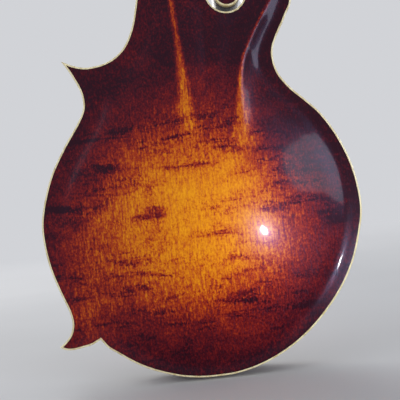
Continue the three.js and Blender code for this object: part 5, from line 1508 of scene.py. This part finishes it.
    def build(self, bench: Bench) -> None:
        """Makes the neck's pieces."""
        wood = self.shaft().join(self.tongue()).join(self.head_wood())
        bench.piece("carved_neck", wood, "maple_neck", replaces=["neck"])
        bench.piece("head_edge", self.head_edge(), "ivoroid", replaces=["headstock_binding"])
        gap = self.head_strip + 0.1
        face = cushion(self.outline, [(gap + 0.12, 0.0), (gap, 0.1), (gap, self.veneer)])
        bench.piece("head_face", self.head_outward(face), "black_lacquer", replaces=["headstock_veneer"])
        plate, screws = self.rod_cover()
        bench.piece("rod_cover_plate", plate, "black_lacquer", replaces=["truss_rod_cover"])
        bench.piece("rod_cover_screws", screws, "nickel")
        inner = self.board_ring(self.edge_strip + 0.1, -0.1)
        board = self.outward(prism(inner, 0.0, self.board))
        bench.piece("board", board, "ebony", replaces=["fingerboard"])
        wires = joined(self.fret_wire(number) for number in range(1, self.last_fret + 1))
        bench.piece("fret_wires", self.outward(wires), "ebony", finish="steel")
        strip = self.outward(prism(self.board_ring(0.0, -0.1), 0.0, self.board,
                                   [self.board_ring(self.edge_strip, -0.12)]))
        bench.piece("board_edge", strip, "ivoroid", replaces=["fingerboard_binding"])
        bench.piece("position_dots", self.dots(), "pearl")


# Tuners


@dataclass
class Tuners:
    """Eight geared tuners on two plates, in the headstock's frame."""

    neck: Neck
    pitch: float = 23.0
    first: float = 36.0
    offset: float = 18.0
    post_radius: float = 3.0
    post_reach: float = 12.0
    teeth: int = 12
    gear_pitch: float = 4.8
    worm_pitch: float = 2.4
    tip: float = 0.55
    root: float = 0.8
    gear_thick: float = 3.0
    plate: float = 1.2
    play: float = 0.4
    lug_gap: float = 1.5
    stand_off: float = 19.0
    button: tuple = (12.0, 7.5, 16.0)

    waist = ((2.5, 0.84), (3.2, 0.76), (4.0, 0.74), (5.0, 0.78), (5.8, 0.88), (6.4, 0.98))

    def __post_init__(self) -> None:
        """Works out the worm's place beside its gear."""
        self.plate_back = self.neck.head_thickness + 0.1
        self.axis_back = self.plate + self.worm_pitch + self.tip + self.play
        self.lead = 2 * math.pi * self.gear_pitch / self.teeth
        self.lug = self.lead + self.lug_gap

    def spot(self, course: str) -> tuple[int, float]:
        """Side and height of a string's post."""
        side = -1 if course[0] in "gd" else 1
        row = {"g1": 1, "g2": 0, "d1": 3, "d2": 2, "a1": 3, "a2": 2, "e1": 1, "e2": 0}[course]
        return side, self.first + row * self.pitch

    def gear(self) -> Shell:
        """The wheel: its radius runs between root and tip once for each tooth, slanted along its axis."""
        turn = full_turn(self.teeth * 10)[None, :]
        y = np.array([-1.5, -1.2, 0.0, 1.2, 1.5])[:, None] * (self.gear_thick / 3.0)
        slant = self.lead / (2 * math.pi * self.worm_pitch) / self.gear_pitch
        phase = np.mod((turn * self.teeth / (2 * math.pi)), 1.0)
        low, high = self.gear_pitch - self.root, self.gear_pitch + self.tip
        flat = 0.25 / high * self.teeth / (2 * math.pi)
        radius = np.interp(phase, [0.0, 0.5 - flat, 0.5 + flat, 1.0], [low, high, high, low])
        radius = radius - 0.25 * (np.abs(y) > 1.3)
        at = turn + slant * y
        rings = np.stack([radius * np.sin(at), np.broadcast_to(y, at.shape), radius * np.cos(at)], axis=2)
        return lofted(rings).moved(0.0, self.axis_back, 0.0)

    def post(self) -> Shell:
        """The turned post: a domed tip, a waist that takes the string and a shank down to its gear."""
        front = -self.neck.head_thickness - self.post_reach
        low = self.axis_back - self.gear_thick / 2
        stations = np.array([
            (0.3, front), (0.62, front + 0.1), (0.8, front + 0.35), (0.93, front + 0.8), (1.0, front + 1.4),
            (0.97, front + 1.9), *((share, front + at) for at, share in self.waist), (1.0, front + 7.0),
            (1.0, low - 0.5), (0.6, low + 0.5), (0.6, low + self.gear_thick + 0.05)])
        return turned(stations[:, 0] * self.post_radius, stations[:, 1], 28)

    def gear_screw(self) -> Shell:
        """The slotted screw that holds the gear on its post, its head towards the back."""
        high = self.axis_back + self.gear_thick / 2
        return screw(1.9, 0.7, 0.4).swapped("x -y z").moved(0.0, high - 0.1, 0.0)

    def worm(self, side: int) -> Shell:
        """Shaft and worm: a rod along X, and a ridge wound round it as a helix of three corners."""
        ends = [-self.lug - 1.4, -self.lug - 1.1, 0.0, 8.0, self.stand_off + 1.0]
        rod = turned([1.1, 1.4, 1.4, 1.4, 1.4], ends, 20, "z x y")
        turn = np.linspace(-2 * math.pi, 2 * math.pi, 57)
        x = self.lead * turn / (2 * math.pi)
        low, high = self.worm_pitch - self.root - 0.4, self.worm_pitch + self.tip
        section = ((low, -0.75), (high - 0.12, -0.1), (high, 0.0), (high - 0.12, 0.1), (low, 0.75))
        rings = np.stack([np.stack([x + wide, radius * np.sin(turn), -radius * np.cos(turn)], axis=1)
                          for radius, wide in section], axis=1)
        rims = [self.stand_off + step for step in (-2.6, -2.2, -0.4, 0.2)]
        whole = rod.join(turned([2.0, 2.3, 2.3, 1.7], rims, 24, "z x y"))
        whole.points[:, 0] *= side
        return whole.join(lofted(rings))

    def knob(self, side: int) -> Shell:
        """The button: an oval section whose thickness and width swell along the shaft's line."""
        shares = smooth_line([(0.0, 0.3, 0.28), (0.05, 0.52, 0.5), (0.16, 0.78, 0.76), (0.32, 0.94, 0.94),
                              (0.5, 1.0, 1.0), (0.68, 0.93, 0.95), (0.84, 0.76, 0.82), (0.95, 0.5, 0.58),
                              (1.0, 0.24, 0.3)], 0.035)
        long, thick, wide = self.button
        turn = full_turn(36)[None, :]
        y = 0.5 * thick * shares[:, 1:2] * flattened(np.sin(turn), 0.9)
        z = 0.5 * wide * shares[:, 2:3] * np.cos(turn)
        x = self.stand_off + shares[:, :1] * long + 0.0 * y
        return lofted(np.stack([side * x, y, z], axis=2))

    def bushings(self) -> Shell:
        """The collars round the posts on the headstock's face: a flat ring with a rounded rim."""
        radii = [4.9, 4.9, 4.6, 4.1, 3.6, 3.3, 3.3]
        rise = [0.3, -0.5, -0.85, -1.0, -1.05, -0.9, 0.3]
        ring = turned(radii, rise, 32, closed=True)
        return self.neck.head_outward(joined(
            ring.moved(side * self.offset, 0.0, self.first + row * self.pitch)
            for side in (-1, 1) for row in range(4)))

    def plate_screws(self) -> Shell:
        """The small screws that hold the two plates, at their ends and between the posts."""
        one = screw(1.3, 0.6, 0.3).swapped("x -y z")
        low, high = self.first - 6.2, self.first + 3 * self.pitch + 11.6
        between = [self.first + (row + 0.66) * self.pitch for row in range(3)]
        return self.neck.head_outward(joined(
            one.moved(side * self.offset + x, self.plate_back + self.plate, z)
            for side in (-1, 1)
            for x, z in ((-4.6, low), (4.6, low), *((5.6 * side, z) for z in between),
                         (-4.6, high), (4.6, high))))

    def build(self, bench: Bench) -> None:
        """Makes each tuner's moving pieces and what is fixed round them."""
        for course in COURSES:
            side, z = self.spot(course)
            at = (side * self.offset, self.plate_back, z)
            knob_at = (at[0], at[1] + self.axis_back, z + self.gear_pitch + self.worm_pitch)
            post = self.post().join(self.gear()).join(self.gear_screw())
            for name, shell, spot, slot, part, nodes in (
                    ("post_and_gear", post, at, "nickel", "post", ["tuner_post"]),
                    ("worm", self.worm(side), knob_at, "nickel", "knob", []),
                    ("button", self.knob(side), knob_at, "pearl", "knob", ["tuner_knob"])):
                bench.piece(f"{name}_{course}", self.neck.head_outward(shell.moved(*spot)), slot,
                            f"{part}_{course}", [f"{node}_{course}" for node in nodes])
        bench.piece("post_bushings", self.bushings(), "nickel")
        bench.piece("tuner_plate_screws", self.plate_screws(), "nickel")


# Strings, bridge, tailpiece and guard


@dataclass
class Strings:
    """Eight strings in four pairs, from the tailpiece's hooks over the bridge and the nut to the posts."""

    neck: Neck
    tuners: Tuners
    tail: Place
    saddle_rise: float = 6.0
    nut_rise: float = 1.5
    nut_back: float = 3.68
    hook_y: float = -5.3
    hook_z: float = 62.0
    hook_step: float = 7.0
    wound_from: float = 0.3
    post_entry: float = 4.2

    radii = {"g": 0.51, "d": 0.33, "a": 0.2, "e": 0.15}
    shares = {"g": -1.0, "d": -1 / 3, "a": 1 / 3, "e": 1.0}
    spreads = {"nut": (11.6, 1.6), "saddle": (20.3, 2.3), "hook": (16.0, 3.2)}

    def facts(self, course: str) -> dict:
        """A string's radius, side and hook row, and its X at nut, saddle and hook."""
        share, second = self.shares[course[0]], course[1] == "2"
        side = 1 if share > 0 else -1
        pair = side * (0.5 if second else -0.5)
        spread = {name: share * half + pair * gap for name, (half, gap) in self.spreads.items()}
        return {"radius": self.radii[course[0]], "side": side, "lift": 0 if second else 1, **spread}

    def saddle_point(self) -> Array:
        """The line over the saddle, in the body's frame."""
        return self.neck.place.out((0.0, -self.saddle_rise, -self.neck.scale))

    def path(self, course: str) -> Array:
        """The string's line through its six bends, in the body's frame."""
        f = self.facts(course)
        _, post_z = self.tuners.spot(course)
        over = self.saddle_point()
        reach = f["side"] * (self.tuners.offset - self.tuners.post_radius - f["radius"] - 0.3)
        high = self.post_entry - self.tuners.post_reach
        hook = self.hook_z + f["lift"] * self.hook_step + 1.5
        neck, head = self.neck.place, self.neck.head
        return np.array([
            self.tail.out((f["hook"], self.hook_y, hook)),
            (f["saddle"], over[1] - f["radius"] - 0.2, over[2]),
            neck.out((f["nut"], -self.nut_rise, 0.0)),
            neck.out((f["nut"], -self.nut_rise, self.nut_back)),
            neck.out(head.out((reach, high, post_z - 1.0))),
            neck.out(head.out((reach, high, post_z + 0.5)))])

    @staticmethod
    def eased(path: Array, ease: float = 1.2) -> Array:
        """A bent line with each inner corner replaced by a short parabola.

        Args:
            path: the line's points.
            ease: how far from the corner the parabola starts.

        Returns:
            The points of the eased line.
        """
        parts = [path[:1]]
        t = np.linspace(0.0, 1.0, 6)[:, None]
        for k in range(1, len(path) - 1):
            before, after = path[k - 1] - path[k], path[k + 1] - path[k]
            near = min(ease, 0.4 * np.linalg.norm(before), 0.4 * np.linalg.norm(after))
            a = path[k] + before / np.linalg.norm(before) * near
            b = path[k] + after / np.linalg.norm(after) * near
            parts.append((1 - t) ** 2 * a + 2 * t * (1 - t) * path[k] + t**2 * b)
        parts.append(path[-1:])
        return np.concatenate(parts)

    def winding(self, course: str) -> Shell:
        """The string's turns round its post: a helix in the post's waist."""
        f = self.facts(course)
        side, z = self.tuners.spot(course)
        turns = 2.6 if f["radius"] > self.wound_from else 3.6
        turn = np.linspace(0.0, 2 * math.pi * turns, int(26 * turns))
        drop = (turn / (2 * math.pi)) * (2.15 * f["radius"])
        front = -self.neck.head_thickness - self.tuners.post_reach
        y = front + self.post_entry + drop
        ends, shares = zip((1.4, 1.0), *self.tuners.waist, (7.0, 1.0))
        waist = self.tuners.post_radius * np.interp(y - front, ends, shares)
        radius = waist + f["radius"] * 0.96
        at = -side * turn + (math.pi if side > 0 else 0.0)
        path = np.stack([radius * np.cos(at), y, radius * np.sin(at)], axis=1)
        shell = lofted(tube_rings(path, f["radius"], 8, (0.0, 1.0, 0.0)))
        return shell.moved(side * self.tuners.offset, self.tuners.plate_back, z)

    def loop(self, course: str) -> Shell:
        """The loop at the tail end: an oval ring of the string's own wire round its hook."""
        f = self.facts(course)
        turn = np.linspace(0.0, 2 * math.pi, 33)
        z = self.hook_z + f["lift"] * self.hook_step
        radius = min(f["radius"], 0.28)
        path = np.stack([f["hook"] + 1.35 * np.sin(turn), -5.2 + 0.12 * np.cos(turn / 2),
                         z + 0.3 + 2.1 * np.cos(turn)], axis=1)
        return lofted(tube_rings(path, radius, 8, (0.0, 1.0, 0.0))).placed(self.tail, BODY)

    def build(self, bench: Bench) -> None:
        """Makes each string with its loop, and its winding on the post."""
        for course in COURSES:
            f = self.facts(course)
            slot = "bronze" if f["radius"] > self.wound_from else "steel"
            path = self.eased(self.path(course))
            run = lofted(tube_rings(path, f["radius"], 10, (1.0, 0.0, 0.0))).placed(BODY)
            run.join(self.loop(course))
            bench.piece(f"stretched_{course}", run, slot, replaces=[f"string_{course}"])
            winding = self.neck.head_outward(self.winding(course))
            bench.piece(f"winding_{course}", winding, slot, f"post_{course}")


@dataclass
class Bridge:
    """The floating bridge: arched base, saddle with stepped crest, threaded posts and thumbwheels."""

    body: Body
    strings: Strings
    base_long: float = 118.0
    base_deep: float = 11.0
    saddle_long: float = 104.0
    saddle_deep: float = 8.0
    saddle_tall: float = 7.6
    post_at: float = 32.0
    post_radius: float = 2.2
    thread: float = 0.8
    thread_depth: float = 0.16
    wheel_radius: float = 7.4
    wheel_thick: float = 2.3
    notches: int = 40
    travel: float = 1.2
    gap: float = 0.2

    def __post_init__(self) -> None:
        """Works out the heights from the strings' line over the saddle."""
        over = self.strings.saddle_point()
        self.top, self.z = float(over[1]), float(over[2])
        self.bottom = self.top + self.saddle_tall
        self.base_top = self.bottom + self.gap + self.wheel_thick + self.travel + self.gap

    def base(self) -> Shell:
        """The base: rounded-off sections carried along X between its arched top and the plate below it.

        The upper line is flat over the posts and falls towards the ends; the lower line follows the plate
        under the two feet and lifts away between them.
        """
        half = self.base_long / 2
        x = np.linspace(-half, half, 121)
        knots = [(0.0, 0.0), (self.post_at + 9.0, 0.0), (half - 4.0, 3.5), (half, 6.6)]
        fall = smooth_line([(-4.0, 0.0), *knots], 0.5)
        up = self.base_top + np.interp(np.abs(x), fall[:, 0], np.maximum(fall[:, 1], 0.0))
        lift = 1.0 - smoothstep(np.abs(x), 19.6, 22.6)
        section = [(-0.78, 0.0), (0.78, 0.0), (0.95, 0.12), (1.0, 0.3), (1.0, 0.8), (1.0, 1.0), (-1.0, 1.0),
                   (-1.0, 0.8), (-1.0, 0.3), (-0.95, 0.12)]
        rings = []
        for across, down in section:
            z = self.z + across * self.base_deep / 2 * np.where(np.abs(x) > half - 2.0, 0.9, 1.0)
            plan = np.stack([x, z], axis=1)
            away, _ = distance_to(plan, self.body.outline)
            foot = -self.body.half_rim - self.body.height(plan, Side.TOP, away) - 0.25
            under = np.maximum(np.minimum(lerp(foot, up + 2.4, lift), foot), up + 0.8)
            rings.append(np.stack([x, lerp(up, under, down), z], axis=1))
        return lofted(np.stack(rings, axis=1)).placed(BODY)

    def saddle(self) -> Shell:
        """The saddle: a wedge whose crest steps back and forth under the courses, with rounded ends."""
        half = self.saddle_long / 2
        x = np.linspace(-half, half, 157)
        knots = [(0.0, 0.0), (22.0, 0.0), (28.3, 0.05), (33.0, 1.6), (38.0, 3.42), (half, 4.92)]
        fall = smooth_line(knots, 0.4)
        up = self.top + np.interp(np.abs(x), fall[:, 0], fall[:, 1])
        flat = np.interp(np.abs(x), [0.0, 27.0, 33.0, half], [0.75, 0.75, 2.3, 2.6])
        step = np.interp(x, [-28.0, -24.0, -14.2, -12.8, -0.7, 0.7, 12.8, 14.2, 24.0, 28.0],
                         [0.0, -1.7, -1.7, 1.1, 1.1, -1.1, -1.1, 1.6, 1.6, 0.0])
        deep = self.saddle_deep / 2
        wall, foot = np.full_like(x, deep), np.full_like(x, deep - 0.35)
        front = [(step + flat, 0.0), (step + 1.25 * flat, 0.1), (wall, 0.62), (wall, 0.94), (foot, 1.0)]
        back = [(-foot, 1.0), (-wall, 0.94), (-wall, 0.62), (step - 1.25 * flat, 0.1)]
        rings = [np.stack([x, lerp(up, self.bottom, down), self.z + np.clip(across, -deep, deep)], axis=1)
                 for across, down in [(step - flat, 0.0), *front, *back]]
        return lofted(np.stack(rings, axis=1)).placed(BODY)

    def posts(self) -> Shell:
        """The two threaded posts: a radius that ripples along the axis."""
        y = np.arange(self.bottom - 3.4, self.base_top + 1.9, 0.1)
        radii = self.post_radius - self.thread_depth * (1.0 - np.cos(2 * math.pi * y / self.thread)) / 2
        post = turned(radii, y, 20)
        return joined(post.moved(x, 0.0, self.z) for x in (-self.post_at, self.post_at)).placed(BODY)

    def wheel(self, x: float) -> Shell:
        """A thumbwheel: a ring whose rim has fine notches and small chamfers, round a plain bore."""
        turn = full_turn(6 * self.notches)
        notch = 0.26 * (0.5 + 0.5 * np.cos(self.notches * turn)) ** 0.7
        low, bore = self.bottom + self.gap, self.post_radius + 0.2
        high, rim = low + self.wheel_thick, self.wheel_radius
        section = [(rim - 0.8, low, 0), (rim - 0.3, low + 0.12, 0), (rim, low + 0.45, 1),
                   (rim, high - 0.45, 1), (rim - 0.3, high - 0.12, 0), (rim - 0.8, high, 0),
                   (bore, high, 0), (bore, low, 0)]
        rings = np.stack([raised((r - k * notch)[:, None] * np.stack([np.cos(turn), np.sin(turn)], axis=1), y)
                          for r, y, k in section])
        return lofted(rings, closed=True).moved(x, 0.0, self.z).placed(BODY)

    def build(self, bench: Bench) -> None:
        """Makes the bridge's pieces."""
        bench.piece("arched_base", self.base(), "ebony", replaces=["bridge_base"])
        bench.piece("threaded_posts", self.posts(), "ebony", finish="nickel")
        bench.piece("stepped_saddle", self.saddle(), "ebony", "saddle", ["bridge_saddle"])
        for name, sign in (("bass", -1), ("treble", 1)):
            bench.piece(f"{name}_wheel_knurled", self.wheel(sign * self.post_at), "nickel", f"{name}_wheel",
                        [f"{name}_thumbwheel"])


@dataclass
class Tailpiece:
    """The cast cover over the hooks, hinged at the tail, in the tailpiece's frame."""

    place: Place
    long: float = 84.0
    half: float = 20.0
    tall: float = 10.0
    wall: float = 1.2
    sheet: float = 1.5
    hinge_z: float = 7.0

    def cover(self) -> Shell:
        """The cover: a thin C-shaped section whose width and height follow smooth lines along the strings."""
        start, end = self.hinge_z + 4.5, self.long + 3.0
        lines = smooth_line([(0.0, 0.74, 0.5), (0.06, 0.82, 0.84), (0.245, 0.95, 1.02), (0.616, 1.12, 1.05),
                             (0.934, 1.16, 0.98), (1.0, 1.08, 0.92)], 0.018)
        edge = -self.sheet - 0.3
        turn = np.linspace(0.0, math.pi, 57)[None, :]

        def skin(wall: float) -> Array:
            """One skin of the cover, a wall's thickness inside the outer one."""
            across = flattened(np.cos(turn), 0.62)
            wide = lines[:, 1:2] * self.half - wall
            high = lines[:, 2:3] * self.tall - wall
            x, y = wide * across, edge - high * np.abs(np.sin(turn)) ** 0.58
            z = np.broadcast_to(lerp(start, end, lines[:, :1]), x.shape)
            return np.stack([x, y, z], axis=2)

        rings = np.concatenate([skin(0.0), skin(self.wall)[:, ::-1]], axis=1)
        shell = lofted(rings, capped=False)
        rows, columns = rings.shape[:2]
        half = columns // 2
        for first in (0, (rows - 1) * columns):
            shell.faces += [[first + k, first + k + 1, first + columns - 2 - k, first + columns - 1 - k]
                            for k in range(half - 1)]
        end_ring = skin(self.wall * 0.5)[0]
        plate = np.stack([end_ring, end_ring + (0.0, 0.0, self.wall)])
        return shell.join(lofted(plate))

    def hinge(self) -> Shell:
        """The cover's knuckle, a tube across the hinge, and the arm that joins the two."""
        back = -self.sheet - 1.3 - 1.1
        radii = [1.52, 2.15, 2.3, 2.3, 2.15, 1.52, 1.52]
        ends = [-9.0, -9.0, -8.8, 8.8, 9.0, 9.0, 0.0]
        tube = turned(radii, ends, 28, "z x y", closed=True).moved(0.0, back, self.hinge_z)
        front = back - 2.3
        arm = box_shell((-8.6, front, self.hinge_z), (8.6, front + 1.4, self.hinge_z + 6.0))
        return tube.join(arm)

    def screws(self) -> Shell:
        """The four screws that hold the flange to the tail."""
        one = screw(1.7, 0.7, 0.4).swapped("x z y")
        return joined(one.moved(x, y, -FLANGE_FACE) for y in (4.4, -13.5) for x in (-10.0, 10.0)).placed(BODY)

    def build(self, bench: Bench) -> None:
        """Makes the tailpiece's pieces."""
        shell = self.cover().join(self.hinge()).placed(self.place, BODY)
        bench.piece("tailpiece_lid_shell", shell, "nickel", "tailpiece_lid", ["tailpiece_cover"])
        bench.piece("flange_screws", self.screws(), "nickel")


@dataclass
class Guard:
    """The pickguard beside the fingerboard, in the neck's frame."""

    neck: Neck
    thick: float = 2.2
    drop: float = 3.0

    shares = [(1.5, -1.01), (2.05, -1.09), (2.55, -1.2), (2.66, -1.33), (2.45, -1.47), (2.0, -1.6),
              (1.55, -1.68), (1.2, -1.665), (1.12, -1.6)]

    def plate(self) -> Shell:
        """The guard: its outline with a bevelled front edge."""
        curve = smooth_line(sized(self.shares, self.neck.joint_half, self.neck.joint), 0.8)
        tip = self.neck.fret(self.neck.last_fret) - 2.5
        inner = [(self.neck.half_at(z) + 0.3, z) for z in (tip - 2.0, -1.01 * self.neck.joint)]
        back = spaced(np.array([curve[-1], *inner, curve[0]]), 1.0)
        section = [(0.9, self.drop), (0.0, self.drop + 0.75), (0.0, self.drop + self.thick)]
        return self.neck.outward(cushion([back[::-1], curve[::-1]], section))

    def build(self, bench: Bench) -> None:
        """Makes the guard."""
        bench.piece("guard_plate", self.plate(), "tortoise", replaces=["pickguard"])


# The studio


@dataclass(frozen=True)
class Lamp:
    """One round area lamp, which the camera doesn't see. Lengths are in metres, the spread in degrees."""

    name: str
    spot: tuple
    target: tuple
    size: float
    power: float
    tint: tuple
    spread: float = 180.0

    def build(self) -> None:
        """Puts the lamp into the scene."""
        data = bpy.data.lights.new(self.name, "AREA")
        data.shape, data.size, data.energy, data.color = "DISK", self.size, self.power, self.tint
        data.spread = math.radians(self.spread)
        made = added(self.name, data)
        made.visible_camera = False
        made.location = self.spot
        made.rotation_euler = (Vector(self.target) - Vector(self.spot)).to_track_quat("-Z", "Y").to_euler()


@dataclass
class Studio:
    """The floor, the soft lights and the camera. Lengths are in metres."""

    distance: float = 0.62
    across: float = 0.3204
    aim: tuple = (0.0004, 0.0225, 0.1438)
    roll: float = math.radians(6.0)
    surround: tuple = (0.64, 0.65, 0.68)
    ambient: tuple = (0.94, 0.96, 1.0)
    ambient_strength: float = 0.46
    floor_half: float = 8.0
    floor_gap: float = 0.0005
    floor_fades: tuple = (0.45, 2.2)

    lamps = (Lamp("key_lamp", (-2.4, 2.8, 0.4), (0.0, 0.0, 0.2), 2.0, 84.0, (0.92, 0.92, 1.0)),
             Lamp("fill_lamp", (3.0, 1.8, 1.0), (0.0, 0.0, 0.25), 3.0, 26.0, (0.93, 0.95, 1.0)),
             Lamp("front_lamp", (1.3, -3.1, 1.9), (0.0, 0.0, 0.3), 3.2, 76.0, (1.0, 0.98, 0.95)),
             Lamp("sun_spot", (-0.132, 0.2875, 0.0665), (-0.047, 0.03, 0.115), 0.0095, 0.04,
                  (1.0, 0.97, 0.92), 54.0))

    def camera(self) -> None:
        """A camera behind the back, level, rolled as the photograph is."""
        data = bpy.data.cameras.new("photo_camera")
        data.sensor_width = 36.0
        data.lens = 36.0 * self.distance / self.across
        data.clip_start, data.clip_end = 0.01, 50.0
        c, s = math.cos(self.roll), math.sin(self.roll)
        right, up, back = Vector((-c, 0.0, -s)), Vector((-s, 0.0, c)), Vector((0.0, 1.0, 0.0))
        made = added("photo_camera", data)
        turn = Matrix((right, up, back)).transposed().to_4x4()
        made.matrix_world = Matrix.Translation(Vector(self.aim) + back * self.distance) @ turn
        bpy.context.scene.camera = made

    def world(self) -> None:
        """A plain pale surround for the camera, for gloss and for glass, and a plain grey light."""
        world = bpy.data.worlds.new("studio")
        bpy.context.scene.world = world
        world.use_nodes = True
        sky = Mixture(world.node_tree)
        sky.tree.nodes.clear()
        seen = sky.node("ShaderNodeBackground", {}, {"Color": self.surround})
        light = sky.node("ShaderNodeBackground", {}, {
            "Color": self.ambient, "Strength": self.ambient_strength})
        mixed = sky.node("ShaderNodeMixShader", {}, {0: sky.seen_rays(), 1: light, 2: seen})
        sky.feed(sky.tree.nodes.new("ShaderNodeOutputWorld").inputs["Surface"], mixed)

    def floor(self) -> None:
        """A plain pale floor under the tail, gently mottled, that passes into the surround far out."""
        recipe = Recipe("studio_floor")
        tone = recipe.noise((3.0, 3.0, 3.0), 2.0)
        recipe.surface(Base_Color=recipe.ramp(tone, ((0.3, (0.6, 0.61, 0.63)), (0.7, (0.64, 0.65, 0.67)))),
                       Roughness=0.8)
        reach = recipe.node("ShaderNodeVectorMath", {"operation": "LENGTH"}, {0: recipe.where()}, "Value")
        far = recipe.span(reach, *self.floor_fades) * recipe.seen_rays()
        glow = recipe.node("ShaderNodeEmission", {}, {"Color": self.surround})
        plain = Wire(recipe, recipe.shader.outputs[0])
        mixed = recipe.node("ShaderNodeMixShader", {}, {0: far, 1: plain, 2: glow})
        recipe.feed(recipe.tree.nodes["Material Output"].inputs["Surface"], mixed)
        mesh = bpy.data.meshes.new("studio_floor")
        half, low = self.floor_half, CAD_LOW[2] - self.floor_gap
        corners = [(-half, -half, low), (half, -half, low), (half, half, low), (-half, half, low)]
        mesh.from_pydata(corners, [], [(0, 1, 2, 3)])
        mesh.materials.append(recipe.material)
        added("studio_floor", mesh)

    def build(self) -> None:
        """Sets up camera, light and floor."""
        bpy.context.scene.view_settings.view_transform = "Standard"
        self.camera()
        self.world()
        self.floor()
        for lamp in self.lamps:
            lamp.build()


def main() -> None:
    logging.basicConfig(level=logging.INFO, format="%(message)s")
    Studio().build()
    bench = Bench(Finishes())
    body = Body()
    neck = Neck()
    tuners = Tuners(neck)
    tail = Place((0.0, -24.1, 0.0), math.radians(-8.6))
    strings = Strings(neck, tuners, tail)
    for part in (body, neck, tuners, strings, Bridge(body, strings), Tailpiece(tail), Guard(neck)):
        part.build(bench)
    done = {n for o in bpy.context.scene.objects for n in o.get("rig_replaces", [])}
    for part in frame["record"]["subparts"]:
        if part["node"] not in done:
            bench.dress(part["node"], part["material_slot"])
    log.info("%d pieces made", bench.count)


if __name__ == "__main__":
    main()
